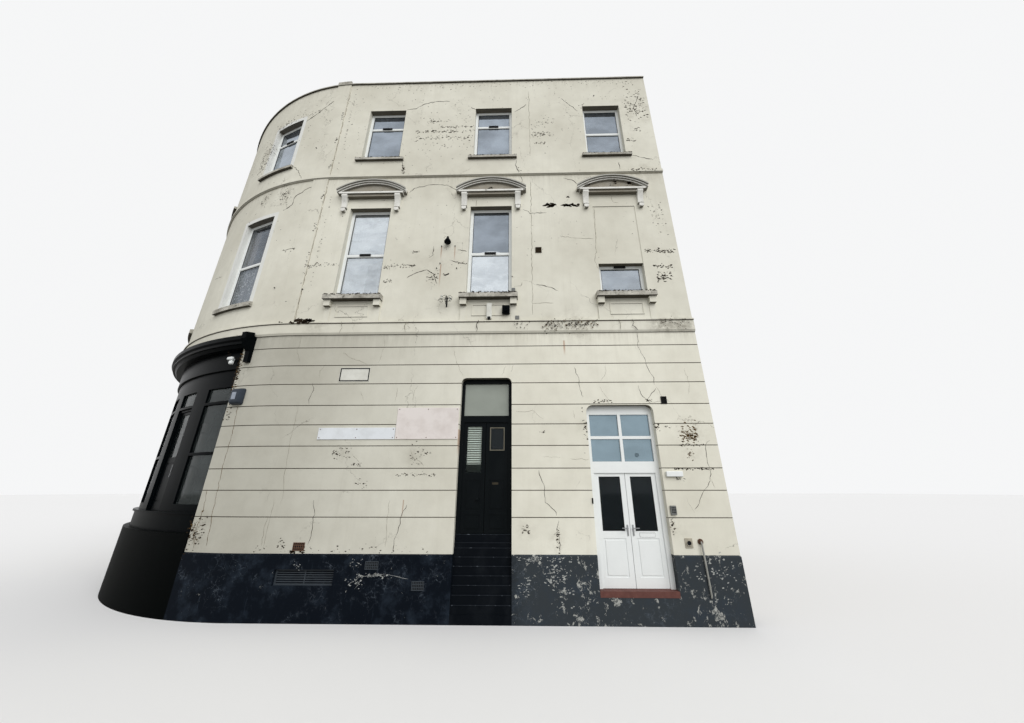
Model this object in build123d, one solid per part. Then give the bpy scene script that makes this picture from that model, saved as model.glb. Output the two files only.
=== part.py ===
from build123d import *
import math
import os

# Corner shop building of three tall storeys, with a street front, a quarter-round corner
# and a short side front. Lengths are millimetres, Z is up and Z = 0 is the lowest ground.

# Plan
front_length = 9480
side_length = 3600
corner_radius = 6770
ground_wall = 450
upper_wall = 340
party_wall = 340

# Heights of the storeys; each front window and moulding below hangs on its floor level
plinth_top = 1130
first_floor_top = 6150
first_storey_height = 4810
second_storey_height = 4060
parapet_height = 570
floor_thickness = 250
roof_thickness = 300

# The ground floor has three levels, one for each way in
shop_floor = 1850
hall_floor = 1465
hall_side = 1000
lower_floor = 540
lower_floor_thickness = 200

# Channelled ground floor: the height of each joint, and the joint's section
joint_heights = [1777, 2283, 2714, 3175, 3632, 4067, 4565, 5020, 5470]
joint_depth = 12
joint_half_height = 11
plinth_out = 25
plinth_chamfer = 25

# Grille of the cellar in the plinth, measured from the start of the curve
grille_centre = 1180
grille_width = 1160
grille_bottom = 590
grille_height = 275
grille_recess = 70
grille_bar = 16
grille_bar_count = 5
grille_frame = 30
grille_back = 12

# Mouldings that run round the building
band_height = 350
band_out = 70
band_face = 45
band_lip = 50
band_chamfer = 18
string_height = 130
string_out = 55
string_slope = 30
moulding_root = 25
coping_out = 45
coping_inside = 40
coping_thickness = 55
coping_fall = 15
pilaster_out = 25
pilaster_start = 1.9
pilaster_end = 5.8
pilaster_block = 100

# Windows
first_bay = 1525
last_bay = 1185
bay_count = 3
corner_first_bay = 19.5
corner_bay_spacing = 28.8
side_bay = 1860
window_width = 1150
first_sill_above_floor = 710
second_sill_above_floor = 660
first_sill_height = 140
first_head_below_floor = 1245
first_rail_rise = 1360
blocked_head_below_floor = 1320
blocked_window_height = 905
blocked_recess = 15
second_sill_height = 100
second_window_height = 2110
second_rail_rise = 1445
second_right_rail_rise = 1030
window_reveal = 150
window_frame_width = 62
window_frame_depth = 70
window_rail = 56
glass_thickness = 16
sill_length = 1450
sill_out = 80
front_sill_out = 180
sill_tongue = 10
sill_fall = 20

# Hoods over the first-floor front windows
hood_half_width = 980
hood_above_head = 400
hood_shelf = 60
hood_shelf_half_width = 900
hood_rise = 335
hood_tip = 160
hood_out = 200
hood_ring = 38
hood_ring_step = 38
hood_tympanum_out = 60
hood_bed_height = 70
hood_bed_out = 115
console_spacing = 1500
console_width = 150
console_height = 560
console_out_top = 150
console_out_low = 70
console_cap = 60
console_drop_radius = 66
console_drop_out = 95
console_drop_overlap = 20

# Aprons under the first-floor front sills
apron_out = 28
apron_end = 30
apron_strip_width = 150
apron_block_width = 160
apron_block_height = 165
apron_block_out = 120
apron_panel_width = 820
apron_panel_height = 315
apron_panel_bead = 26

# Doors in general
door_stop_depth = 24
door_stop_width = 15
leaf_thickness = 44
leaf_gap = 5
leaf_meeting_gap = 9
hinge_radius = 9
hinge_offset = 12
hinge_height = 50
hinge_flap = 30
hinge_clearance = 0.3
hinge_end_distance = 260
panel_depth = 10
panel_border = 36

# Black double door
black_door_centre = 4903
black_door_width = 1140
black_door_head = 4690
black_door_corner = 120
black_door_recess = 140
black_frame_width = 70
black_transom_bottom = 3715
black_transom_height = 130
black_fanlight_head = 100
black_stile = 85
black_lock_rail = 1180
black_top_rail = 100
black_small_window_rail = 120
black_small_window_height = 500
black_middle_rail = 160
black_panel_heights = [(60, 350), (430, 1015)]
knob_height = 640
knob_offset = 60
knob_radius = 34
knob_length = 50
knob_neck = 14
black_step_heights = [145, 90]
black_step_count = 8

# White double door
white_door_centre = 1972
white_door_width = 1455
white_door_head = 4045
white_door_corner = 150
white_door_recess = 130
white_frame_width = 76
white_transom_bottom = 2640
white_transom_height = 215
white_fanlight_bar = 62
white_fanlight_head = 190
white_stile = 100
white_lock_rail = 985
white_top_rail = 80
white_bottom_rail = 180
white_middle_rail = 130
white_sill_height = 100
white_sill_out = 30

# Lever handles of the white door
lever_height = 1000
lever_plate_width = 30
lever_plate_height = 200
lever_plate_thickness = 8
lever_length = 115
lever_thickness = 14
lever_depth = 18
lever_reach = 56
lever_above_middle = 40

# Shopfront round the corner, as angles from the start of the curve
shop_start = 12.0
shop_middle = 45.0
shop_post_angles = [(12.0, 13.0), (21.0, 25.6), (32.6, 36.0), (44.25, 45.75)]
shop_door_bay = 1
shop_door_jamb = 34
shop_door_head = 40
shop_door_stile = 95
shop_door_top_rail = 90
shop_door_lock_rail = 1190
shop_door_middle_rail = 130
shop_door_bottom_rail = 180
pull_height = 720
pull_length = 280
pull_bar = 14
pull_reach = 52
shop_frame_back = 150
shop_frame_depth = 110
shop_stallriser_back = 90
shop_base_top = 1465
shop_sill_thickness = 40
shop_sill_out = 40
shop_bottom_rail = 150
shop_lower_transom = 3040
shop_upper_transom = 4220
shop_transom_height = 60
shop_head_bottom = 4620
shop_beam_bottom = 5055
fascia_back = 100
fascia_thickness = 40
fascia_height = 480
cornice_out = 190
shop_console_angle = 9.9
shop_console_width = 120
shop_console_out = 290
shop_console_above_beam = 85
shop_console_foot_out = 90
shop_console_waist_out = 100
shop_console_rise = 90
shop_console_fall = 60
shop_console_clearance = 10

# Worked-out heights
second_floor_top = first_floor_top + first_storey_height
parapet_top = second_floor_top + second_storey_height
roof_top = parapet_top - parapet_height
coping_top = parapet_top + coping_thickness
band_bottom = first_floor_top - band_height
string_bottom = second_floor_top - string_height
first_sill_top = first_floor_top + first_sill_above_floor
first_head = second_floor_top - first_head_below_floor
first_meeting_rail = first_sill_top + first_rail_rise
blocked_head = second_floor_top - blocked_head_below_floor
blocked_window_head = first_sill_top + blocked_window_height
second_sill_top = second_floor_top + second_sill_above_floor
second_head = second_sill_top + second_window_height
second_meeting_rail = second_sill_top + second_rail_rise
second_right_meeting_rail = second_sill_top + second_right_rail_rise
hood_bottom = first_head + hood_above_head
console_bottom = hood_bottom - console_height
fascia_top = shop_beam_bottom + fascia_height

# Worked-out places
shop_console_half = math.degrees(shop_console_width / corner_radius) / 2
quarter_turn = 90
shop_end = 2 * shop_middle - shop_start
console_ends = (shop_console_angle, 2 * shop_middle - shop_console_angle)
console_reach = (corner_radius + shop_console_out) * math.cos(
    math.radians(shop_console_angle - shop_console_half)) - corner_radius
reach_front = max(hood_out, console_reach)
reach_left = max(sill_out, coping_out, console_reach)
wall_width = front_length + corner_radius
wall_depth = side_length + corner_radius
right_x = (wall_width + reach_left) / 2
left_x = right_x - wall_width
back_y = (wall_depth + reach_front) / 2
front_y = back_y - wall_depth
corner_x = right_x - front_length
corner_y = back_y - side_length
black_door_x = right_x - black_door_centre
white_door_x = right_x - white_door_centre
grille_x = corner_x + grille_centre
hall_start = black_door_x - black_door_width / 2 - hall_side
hall_end = (black_door_x + white_door_x) / 2


def block(x0, x1, y0, y1, z0, z1):
    """A box between two corners."""
    size = (x1 - x0, y1 - y0, z1 - z0)
    return Pos((x0 + x1) / 2, (y0 + y1) / 2, (z0 + z1) / 2) * Box(*size)


def rectangle(x0, x1, z0, z1):
    """A rectangle in the plane of a wall, for upright()."""
    return Pos((x0 + x1) / 2, (z0 + z1) / 2) * Rectangle(x1 - x0, z1 - z0)


def upright(sketch, y0, y1):
    """A drawing in the plane of a wall, made solid from depth y0 to depth y1."""
    return Pos(0, y1, 0) * extrude(Plane.XZ * sketch, y1 - y0)


def polygon_face(points):
    return Face(Wire.make_polygon([Vector(*point) for point in points], close=True))


def front_run(profile, x0, x1):
    """A section of (out, height) points, drawn along the street front."""
    face = polygon_face([(x0, front_y - out, z) for out, z in profile])
    return extrude(face, amount=x1 - x0, dir=(1, 0, 0))


def corner_run(profile, start, end):
    """The same section, turned round the corner between two angles."""
    sine, cosine = math.sin(math.radians(start)), math.cos(math.radians(start))
    points = [(corner_x - (corner_radius + out) * sine,
               corner_y - (corner_radius + out) * cosine, z) for out, z in profile]
    axis = Axis((corner_x, corner_y, 0), (0, 0, -1))
    return revolve(polygon_face(points), axis=axis, revolution_arc=end - start)


def side_run(profile, y0, y1):
    """The same section, drawn along the side front."""
    face = polygon_face([(left_x - out, y0, z) for out, z in profile])
    return extrude(face, amount=y1 - y0, dir=(0, 1, 0))


def street_run(profile):
    """The section round all three fronts, in one piece."""
    return (front_run(profile, corner_x, right_x) + corner_run(profile, 0, quarter_turn)
            + side_run(profile, corner_y, back_y))


def strip(outer, inner, low, high):
    """A rectangular section; distances are outwards from the wall's face."""
    return [(inner, low), (outer, low), (outer, high), (inner, high)]


def channelled(low, high):
    """The ground-floor wall's section, with a V joint at each course."""
    face = [(0, low)]
    for z in joint_heights:
        if low < z - joint_half_height and z + joint_half_height < high:
            face += [(0, z - joint_half_height), (-joint_depth, z), (0, z + joint_half_height)]
    return face + [(0, high), (-ground_wall, high), (-ground_wall, low)]


def front_place(x):
    return Location((x, front_y, 0))


def corner_place(angle):
    sine, cosine = math.sin(math.radians(angle)), math.cos(math.radians(angle))
    return Location((corner_x - corner_radius * sine, corner_y - corner_radius * cosine, 0),
                    (0, 0, -angle))


def side_place(y):
    return Location((left_x, y, 0), (0, 0, -90))


# Window bays: the place of each, and how a section runs along its wall
bay_spacing = (front_length - first_bay - last_bay) / (bay_count - 1)
front_bays = [right_x - first_bay - bay_spacing * i for i in range(bay_count)]
corner_bays = [corner_first_bay + corner_bay_spacing * i for i in range(bay_count)]
side_bays = [corner_y + side_bay]


def bay_places():
    return ([front_place(x) for x in front_bays] + [corner_place(a) for a in corner_bays]
            + [side_place(y) for y in side_bays])


def bay_runs(profile, half):
    """One short run of a section centred on every window bay."""
    turn = math.degrees(half / corner_radius)
    return ([front_run(profile, x - half, x + half) for x in front_bays]
            + [corner_run(profile, a - turn, a + turn) for a in corner_bays]
            + [side_run(profile, y - half, y + half) for y in side_bays])


# Outer walls
def cut_windows(wall, places, blocked=()):
    """Cuts each bay's two windows; a blocked bay has a short first-floor window."""
    half = window_width / 2
    through = (-upper_wall, 2 * upper_wall)
    for number, place in enumerate(places):
        head = blocked_window_head if number in blocked else first_head
        wall -= place * block(-half, half, *through, first_sill_top - first_sill_height, head)
        wall -= place * block(-half, half, *through, second_sill_top - second_sill_height,
                              second_head)
        if number in blocked:
            wall -= place * block(-half, half, -blocked_recess, blocked_recess,
                                  blocked_window_head, blocked_head)
    return wall


def doorway(width, low, head, corner):
    """A doorway's outline, with rounded top corners."""
    shape = rectangle(-width / 2, width / 2, low, head)
    return fillet(shape.vertices().group_by(Axis.Y)[-1], corner)


def wall_over_door(x, width, head, corner):
    wall = front_run(channelled(head - corner, first_floor_top), x - width / 2, x + width / 2)
    hole = upright(doorway(width, 0, head, corner), -ground_wall, 2 * ground_wall)
    return wall - front_place(x) * hole


def plinth():
    section = [(-ground_wall, 0), (plinth_out, 0), (plinth_out, plinth_top - plinth_chamfer),
               (0, plinth_top), (-ground_wall, plinth_top)]
    black, white = black_door_width / 2, white_door_width / 2
    left = front_run(section, corner_x, black_door_x - black) + corner_run(section, 0, shop_start)
    left -= front_place(grille_x) * block(
        -grille_width / 2, grille_width / 2, -2 * plinth_out, grille_recess, grille_bottom,
        grille_bottom + grille_height)
    middle = front_run(section, black_door_x + black, white_door_x - white)
    right = front_run(section, white_door_x + white, right_x)
    side = corner_run(section, shop_end, quarter_turn) + side_run(section, corner_y, back_y)
    return [left, middle, right, side]


def cellar_grille():
    """A cast frame with level bars, set back in the plinth."""
    half = grille_width / 2
    low, high = grille_bottom, grille_bottom + grille_height
    drawing = rectangle(-half, half, low, high)
    pitch = (grille_height - 2 * grille_frame + grille_bar) / (grille_bar_count + 1)
    for number in range(grille_bar_count + 1):
        start = low + grille_frame + number * pitch
        for x0, x1 in [(-half + grille_frame, -grille_bar / 2),
                       (grille_bar / 2, half - grille_frame)]:
            drawing -= rectangle(x0, x1, start, start + pitch - grille_bar)
    return upright(drawing, grille_recess - grille_back - grille_bar, grille_recess - grille_back)


def ground_walls():
    section = channelled(plinth_top, first_floor_top)
    black, white = black_door_width / 2, white_door_width / 2
    left = front_run(section, corner_x, black_door_x - black) + corner_run(section, 0, shop_start)
    recess = -fascia_back - fascia_thickness
    over_shopfront = [
        (recess, shop_beam_bottom), (-ground_wall, shop_beam_bottom),
        (-ground_wall, first_floor_top), (0, first_floor_top), (0, band_bottom),
        (recess, band_bottom)]
    return {
        "front_wall_left": left,
        "front_wall_middle": front_run(section, black_door_x + black, white_door_x - white),
        "front_wall_right": front_run(section, white_door_x + white, right_x),
        "wall_over_black_door": wall_over_door(
            black_door_x, black_door_width, black_door_head, black_door_corner),
        "wall_over_white_door": wall_over_door(
            white_door_x, white_door_width, white_door_head, white_door_corner),
        "side_wall_ground": corner_run(section, shop_end, quarter_turn)
        + side_run(section, corner_y, back_y),
        "wall_over_shopfront": corner_run(over_shopfront, shop_start, shop_end),
    }


def upper_walls():
    section = strip(0, -upper_wall, first_floor_top, parapet_top)
    edges = [0] + [a + corner_bay_spacing / 2 for a in corner_bays[:-1]] + [quarter_turn]
    front = front_run(section, corner_x, right_x)
    side = side_run(section, corner_y, back_y)
    walls = {
        "front_wall_upper": cut_windows(front, [front_place(x) for x in front_bays], blocked=[0]),
        "side_wall_upper": cut_windows(side, [side_place(y) for y in side_bays]),
    }
    for number, angle in enumerate(corner_bays):
        wall = corner_run(section, edges[number], edges[number + 1])
        walls[f"corner_wall_upper_{number + 1}"] = cut_windows(wall, [corner_place(angle)])
    return walls


def party_walls():
    """Plain walls to the neighbours, stepped where the street walls get thinner."""
    def stepped(start, end):
        return [(start + ground_wall, 0), (start + ground_wall, first_floor_top),
                (start + upper_wall, first_floor_top), (start + upper_wall, parapet_top),
                (end, parapet_top), (end, 0)]

    right = polygon_face([(right_x - party_wall, y, z) for y, z in stepped(front_y, back_y)])
    back = polygon_face([(x, back_y, z) for x, z in stepped(left_x, right_x - party_wall)])
    return {
        "party_wall_right": extrude(right, amount=party_wall, dir=(1, 0, 0)),
        "party_wall_back": extrude(back, amount=party_wall, dir=(0, -1, 0)),
    }


# Floors and roof
def plan(inset):
    """The plan inside the street walls and the party walls."""
    radius = corner_radius - inset
    low_y, low_x = front_y + inset, left_x + inset
    high_x, high_y = right_x - party_wall, back_y - party_wall
    diagonal = radius * math.sqrt(0.5)
    edges = [
        Line((high_x, low_y), (corner_x, low_y)),
        ThreePointArc((corner_x, low_y), (corner_x - diagonal, corner_y - diagonal),
                      (low_x, corner_y)),
        Line((low_x, corner_y), (low_x, high_y)),
        Line((low_x, high_y), (high_x, high_y)),
        Line((high_x, high_y), (high_x, low_y)),
    ]
    return Face(Wire(edges))


def slab(inset, top, thickness):
    return Pos(0, 0, top - thickness) * extrude(plan(inset), amount=thickness, dir=(0, 0, 1))


def ground_floors():
    """Three floor levels, one for each way in from the street."""
    levels = [(left_x, hall_start, shop_floor, floor_thickness),
              (hall_start, hall_end, hall_floor, floor_thickness),
              (hall_end, right_x, lower_floor, lower_floor_thickness)]
    return [slab(ground_wall, top, thickness) & block(x0, x1, front_y, back_y, 0, first_floor_top)
            for x0, x1, top, thickness in levels]


def pilaster_spans():
    """The angles that the flat strips at both ends of the curve cover."""
    return [(pilaster_start, pilaster_end), (90 - pilaster_end, 90 - pilaster_start)]


def coping():
    """Capping stones round the parapet, with a block over each pilaster."""
    inner = -upper_wall - coping_inside
    low = coping_top - coping_fall
    section = [(inner, parapet_top), (coping_out, parapet_top), (coping_out, low),
               (inner, coping_top)]
    inside = party_wall + coping_inside
    right = block(right_x - inside, right_x, front_y + upper_wall, back_y, parapet_top, coping_top)
    back = block(left_x + upper_wall, right_x - party_wall, back_y - inside, back_y,
                 parapet_top, coping_top)
    solid = street_run(section) + right + back
    for start, end in pilaster_spans():
        solid += corner_run(strip(coping_out, inner, low, coping_top + pilaster_block), start, end)
    return solid


def floor_band():
    """A flat band at the first floor with a rounded lip on top."""
    return street_run([
        (0, band_bottom), (moulding_root, band_bottom), (band_face, band_bottom + band_lip),
        (band_face, first_floor_top - band_lip - band_chamfer), (band_out, first_floor_top - band_lip),
        (band_out, first_floor_top - band_chamfer), (moulding_root, first_floor_top),
        (0, first_floor_top)])


def string_course():
    return street_run([
        (0, string_bottom), (moulding_root, string_bottom), (string_out, string_bottom + string_slope),
        (string_out, second_floor_top - band_chamfer), (0, second_floor_top)])


def pilasters():
    """Flat strips at both ends of the curve, on each upper storey."""
    storeys = [(first_floor_top, string_bottom), (second_floor_top, parapet_top)]
    return [corner_run(strip(pilaster_out, 0, low, high), start, end)
            for start, end in pilaster_spans() for low, high in storeys]


# Windows
def window_rows():
    """Each window: its place, sill, head and the heights of its cross rails."""
    rows = []
    for number, place in enumerate(bay_places()):
        right_bay = number == 0
        first = (blocked_window_head, []) if right_bay else (first_head, [first_meeting_rail])
        rail = second_right_meeting_rail if right_bay else second_meeting_rail
        rows.append((place, first_sill_top, *first))
        rows.append((place, second_sill_top, second_head, [rail]))
    return rows


def panes(low, high, rails):
    """The heights of the panes between a frame's rails."""
    edges = [low + window_frame_width]
    for rail in rails:
        edges += [rail - window_rail / 2, rail + window_rail / 2]
    edges.append(high - window_frame_width)
    return list(zip(edges[::2], edges[1::2]))


def window_frame(low, high, rails):
    half = window_width / 2
    drawing = rectangle(-half, half, low, high)
    for bottom, top in panes(low, high, rails):
        drawing -= rectangle(-half + window_frame_width, half - window_frame_width, bottom, top)
    return upright(drawing, window_reveal, window_reveal + window_frame_depth)


def window_glass(low, high, rails):
    half = window_width / 2 - window_frame_width
    start = window_reveal + (window_frame_depth - glass_thickness) / 2
    return [block(-half, half, start, start + glass_thickness, bottom, top)
            for bottom, top in panes(low, high, rails)]


def window_sills():
    """Sills that reach back under the frames; those over the aprons project further."""
    pieces = []
    half = window_width / 2
    for top, height, front_out in [(first_sill_top, first_sill_height, front_sill_out),
                                   (second_sill_top, second_sill_height, sill_out)]:
        front, others = [bay_runs([(0, top - height), (out, top - height), (out, top - sill_fall),
                                   (sill_tongue, top), (0, top)], sill_length / 2)
                         for out in (front_out, sill_out)]
        noses = front[:bay_count] + others[bay_count:]
        for place, nose in zip(bay_places(), noses):
            inner = place * block(-half, half, -sill_tongue, window_reveal + window_frame_depth,
                                  top - height, top)
            pieces.append(nose + inner)
    return pieces


# Hoods and aprons of the first-floor front windows
def arc_band(radius, centre, thickness, floor, out):
    """A piece of a curved moulding, cut off level at its foot."""
    ring = Pos(0, centre) * (Circle(radius) - Circle(radius - thickness))
    return upright(ring & rectangle(-hood_half_width, hood_half_width, floor, radius + centre),
                   -out, 0)


def console():
    """A bracket with a hollow front, drawn from the side, over a round drop."""
    top = hood_bottom - console_cap
    low = console_bottom + 2 * console_drop_radius - console_drop_overlap
    waist = ((console_out_top + console_out_low) / 3, (top + low) / 2)
    side = make_face([
        Line((0, hood_bottom), (-console_out_top, hood_bottom)),
        Line((-console_out_top, hood_bottom), (-console_out_top, top)),
        ThreePointArc((-console_out_top, top), (-waist[0], waist[1]), (-console_out_low, low)),
        Line((-console_out_low, low), (0, low)),
        Line((0, low), (0, hood_bottom)),
    ])
    drop = upright(Pos(0, console_bottom + console_drop_radius) * Circle(console_drop_radius),
                   -console_drop_out, 0)
    return Pos(-console_width / 2, 0, 0) * extrude(Plane.YZ * side, console_width) + drop


def hood():
    """A segmental hood: a curved cornice of three steps on a shelf, on two consoles."""
    shelf_top = hood_bottom + hood_shelf
    tip = hood_bottom + hood_tip
    radius = (hood_half_width ** 2 + hood_rise ** 2) / (2 * hood_rise)
    centre = tip + hood_rise - radius
    solid = arc_band(radius, centre, 3 * hood_ring, shelf_top, hood_out - 2 * hood_ring_step)
    solid += arc_band(radius, centre, 2 * hood_ring, shelf_top, hood_out - hood_ring_step)
    solid += arc_band(radius, centre, hood_ring, shelf_top, hood_out)
    infill = Pos(0, centre) * Circle(radius - hood_ring)
    infill &= rectangle(-hood_half_width, hood_half_width, shelf_top, tip + hood_rise)
    solid += upright(infill, -hood_tympanum_out, 0)
    solid += block(-hood_shelf_half_width, hood_shelf_half_width, -hood_out + hood_ring_step, 0,
                   hood_bottom, shelf_top)
    bed = (console_spacing - console_width) / 2
    solid += block(-bed, bed, -hood_bed_out, 0, hood_bottom - hood_bed_height, hood_bottom)
    for x in (-console_spacing / 2, console_spacing / 2):
        solid += Pos(x, 0, 0) * console()
    return solid


def apron():
    """Blocks under the sill's ends, strips below them and a framed panel between."""
    top = first_sill_top - first_sill_height
    half = sill_length / 2 - apron_end
    solid = block(-half, half, -apron_out / 2, 0, first_floor_top, top)
    for side in (-1, 1):
        middle = side * (half - apron_strip_width / 2)
        for width, out, low in [(apron_strip_width, apron_out, first_floor_top),
                                (apron_block_width, apron_block_out, top - apron_block_height)]:
            solid += block(middle - width / 2, middle + width / 2, -out, 0, low, top)
    middle = (first_floor_top + top) / 2
    width, height = apron_panel_width / 2, apron_panel_height / 2
    frame = rectangle(-width, width, middle - height, middle + height)
    frame -= rectangle(-width + apron_panel_bead, width - apron_panel_bead,
                       middle - height + apron_panel_bead, middle + height - apron_panel_bead)
    return solid + upright(frame, -apron_out, 0)


# Doors
def leaf_depths(recess):
    """Depths of a leaf's outer and inner faces behind the wall's face."""
    outer = recess + door_stop_depth + leaf_gap
    return outer, outer + leaf_thickness


def hinge_heights(low, high):
    return [low + hinge_end_distance, (low + high) / 2, high - hinge_end_distance]


def hinge_half(x, y, low, toward):
    """One knuckle and its flap; toward is the side that the flap lies on."""
    x0, x1 = sorted((x, x + toward * hinge_flap))
    knuckle = Pos(x, y, low + hinge_height / 2) * Cylinder(hinge_radius, hinge_height)
    return knuckle + block(x0, x1, y - hinge_offset, y, low, low + hinge_height)


def add_hinges(solid, x, y, low, high, toward, moving):
    for height in hinge_heights(low, high):
        start = height + (hinge_height + hinge_clearance if moving else 0)
        solid += hinge_half(x, y, start, toward)
    return solid


def leaf(x0, x1, low, high, recess, glass, panels, hinge_side):
    """A door leaf with glazed holes and sunk panels, and the glass to go in it."""
    outer, inner = leaf_depths(recess)
    drawing = rectangle(x0, x1, low, high)
    for hole in glass:
        drawing -= rectangle(*hole)
    solid = upright(drawing, outer, inner)
    for panel in panels:
        field = [panel[0] + panel_border, panel[1] - panel_border,
                 panel[2] + panel_border, panel[3] - panel_border]
        sunk = rectangle(*panel) - rectangle(*field)
        solid -= upright(sunk, outer, outer + panel_depth)
        solid -= upright(sunk, inner - panel_depth, inner)
    hinge_x = x0 - leaf_gap / 2 if hinge_side < 0 else x1 + leaf_gap / 2
    solid = add_hinges(solid, hinge_x, inner + hinge_offset, low, high, -hinge_side, True)
    middle = (outer + inner - glass_thickness) / 2
    sheets = [block(g[0], g[1], middle, middle + glass_thickness, g[2], g[3]) for g in glass]
    return solid, sheets


def door_frame(shape, clear, low, door_top, recess, lights=(), sides=(-1, 1)):
    """A frame cut from its outer shape, with a stop and the fixed halves of the hinges."""
    outer, inner = leaf_depths(recess)
    for light in lights:
        shape -= rectangle(*light)
    solid = upright(shape - rectangle(-clear, clear, low, door_top), recess, inner)
    stop = rectangle(-clear, clear, low, door_top)
    stop -= rectangle(-clear + door_stop_width, clear - door_stop_width, low,
                      door_top - door_stop_width)
    solid += upright(stop, recess, recess + door_stop_depth)
    for side in sides:
        x = side * (clear - leaf_gap / 2)
        solid = add_hinges(solid, x, inner + hinge_offset, low + leaf_gap, door_top - leaf_gap,
                           side, False)
    return solid


def light_panes(x0, x1, z0, z1, columns, rows, bar):
    """A light divided by bars into equal panes."""
    width = (x1 - x0 - (columns - 1) * bar) / columns
    height = (z1 - z0 - (rows - 1) * bar) / rows
    return [(x0 + i * (width + bar), x0 + i * (width + bar) + width,
             z0 + j * (height + bar), z0 + j * (height + bar) + height)
            for i in range(columns) for j in range(rows)]


def glaze(lights, recess):
    outer, inner = leaf_depths(recess)
    middle = (outer + inner - glass_thickness) / 2
    return [block(light[0], light[1], middle, middle + glass_thickness, light[2], light[3])
            for light in lights]


def knob(x, z, depth):
    """A turned knob on a neck, on the outside of a leaf."""
    profile = make_face(Polyline(
        (0, 0), (knob_neck, 0), (knob_neck, knob_length / 3), (knob_radius, knob_length / 2),
        (knob_radius, knob_length * 0.8), (knob_neck, knob_length), (0, knob_length), close=True))
    return Pos(x, depth, z) * Rot(90, 0, 0) * revolve(Plane.XZ * profile, Axis.Z)


def black_door():
    place = front_place(black_door_x)
    half = black_door_width / 2
    clear = half - black_frame_width
    light_low = black_transom_bottom + black_transom_height
    lights = [(-clear, clear, light_low, black_door_head - black_fanlight_head)]
    shape = doorway(black_door_width, hall_floor, black_door_head, black_door_corner)
    frame = door_frame(shape, clear, hall_floor, black_transom_bottom, black_door_recess, lights)
    low, high = hall_floor + leaf_gap, black_transom_bottom - leaf_gap
    edge = leaf_meeting_gap / 2
    pieces = {"black_door_frame": [place * frame],
              "black_door_fanlight": [place * s for s in glaze(lights, black_door_recess)]}
    window_top = high - black_small_window_rail
    for name, x0, x1, side, window in [
            ("left", -clear + leaf_gap, -edge, -1, (hall_floor + black_lock_rail,
                                                    high - black_top_rail)),
            ("right", edge, clear - leaf_gap, 1, (window_top - black_small_window_height,
                                                  window_top))]:
        glass = [(x0 + black_stile, x1 - black_stile, *window)]
        panels = [(x0 + black_stile, x1 - black_stile, low + bottom, low + top)
                  for bottom, top in black_panel_heights]
        solid, sheets = leaf(x0, x1, low, high, black_door_recess, glass, panels, side)
        if name == "left":
            solid += knob(x1 - black_stile - knob_offset, low + knob_height,
                          leaf_depths(black_door_recess)[0])
        pieces[f"black_door_{name}_leaf"] = [place * solid]
        pieces[f"black_door_{name}_glass"] = [place * sheet for sheet in sheets]
    pieces["black_door_steps"] = [place * black_steps(half)]
    return pieces


def black_steps(half):
    """Shallow steps under the black door, from the threshold to the ground."""
    lowest = (hall_floor - sum(black_step_heights)) / black_step_count
    heights = black_step_heights + [lowest] * black_step_count
    points = [(ground_wall, hall_floor)]
    depth, z = black_door_recess, hall_floor
    tread = (black_door_recess + plinth_out) / (len(heights) - 1)
    for height in heights:
        points += [(depth, z), (depth, z - height)]
        z -= height
        depth -= tread
    points.append((ground_wall, z))
    side = make_face(Polyline(*points, close=True))
    return Pos(-half, 0, 0) * extrude(Plane.YZ * side, 2 * half)


def lever_handle(x, z, depth, toward):
    """A lever on a back plate, on the outside of a leaf."""
    plate = block(x - lever_plate_width / 2, x + lever_plate_width / 2,
                  depth - lever_plate_thickness, depth,
                  z - lever_plate_height / 2, z + lever_plate_height / 2)
    height, half = z + lever_above_middle, lever_depth / 2
    front = depth - lever_reach
    neck = block(x - half, x + half, front, depth, height - half, height + half)
    x0, x1 = sorted((x - toward * half, x + toward * lever_length))
    return plate + neck + block(x0, x1, front, front + lever_thickness, height - half,
                                height + half)


def white_door():
    place = front_place(white_door_x)
    half = white_door_width / 2
    clear = half - white_frame_width
    light_low = white_transom_bottom + white_transom_height
    lights = light_panes(-clear, clear, light_low, white_door_head - white_fanlight_head, 2, 2,
                         white_fanlight_bar)
    shape = doorway(white_door_width, lower_floor, white_door_head, white_door_corner)
    frame = door_frame(shape, clear, lower_floor, white_transom_bottom, white_door_recess, lights)
    low, high = lower_floor + leaf_gap, white_transom_bottom - leaf_gap
    left = (-clear + leaf_gap, -leaf_meeting_gap / 2)
    right = (leaf_meeting_gap / 2, clear - leaf_gap)
    stile, lock_rail = white_stile, lower_floor + white_lock_rail
    pieces = {"white_door_frame": [place * frame],
              "white_door_fanlight": [place * s for s in glaze(lights, white_door_recess)]}
    outer = leaf_depths(white_door_recess)[0]
    for name, (x0, x1), side in [("left", left, -1), ("right", right, 1)]:
        glass = [(x0 + stile, x1 - stile, lock_rail, high - white_top_rail)]
        panels = [(x0 + stile, x1 - stile, low + white_bottom_rail,
                   lock_rail - white_middle_rail)]
        solid, sheets = leaf(x0, x1, low, high, white_door_recess, glass, panels, side)
        pieces[f"white_door_{name}_leaf"] = [place * solid]
        pieces[f"white_door_{name}_glass"] = [place * sheet for sheet in sheets]
        handle_x = x1 - stile / 2 if side < 0 else x0 + stile / 2
        pieces[f"white_door_{name}_handle"] = [
            place * lever_handle(handle_x, lower_floor + lever_height, outer, side)]
    sill_low = lower_floor - white_sill_height
    pieces["white_door_sill"] = [
        place * block(-half, half, -white_sill_out, ground_wall, sill_low, lower_floor)]
    pieces["white_door_base"] = [
        place * block(-half, half, -plinth_out, ground_wall, 0, sill_low)]
    return pieces


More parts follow.
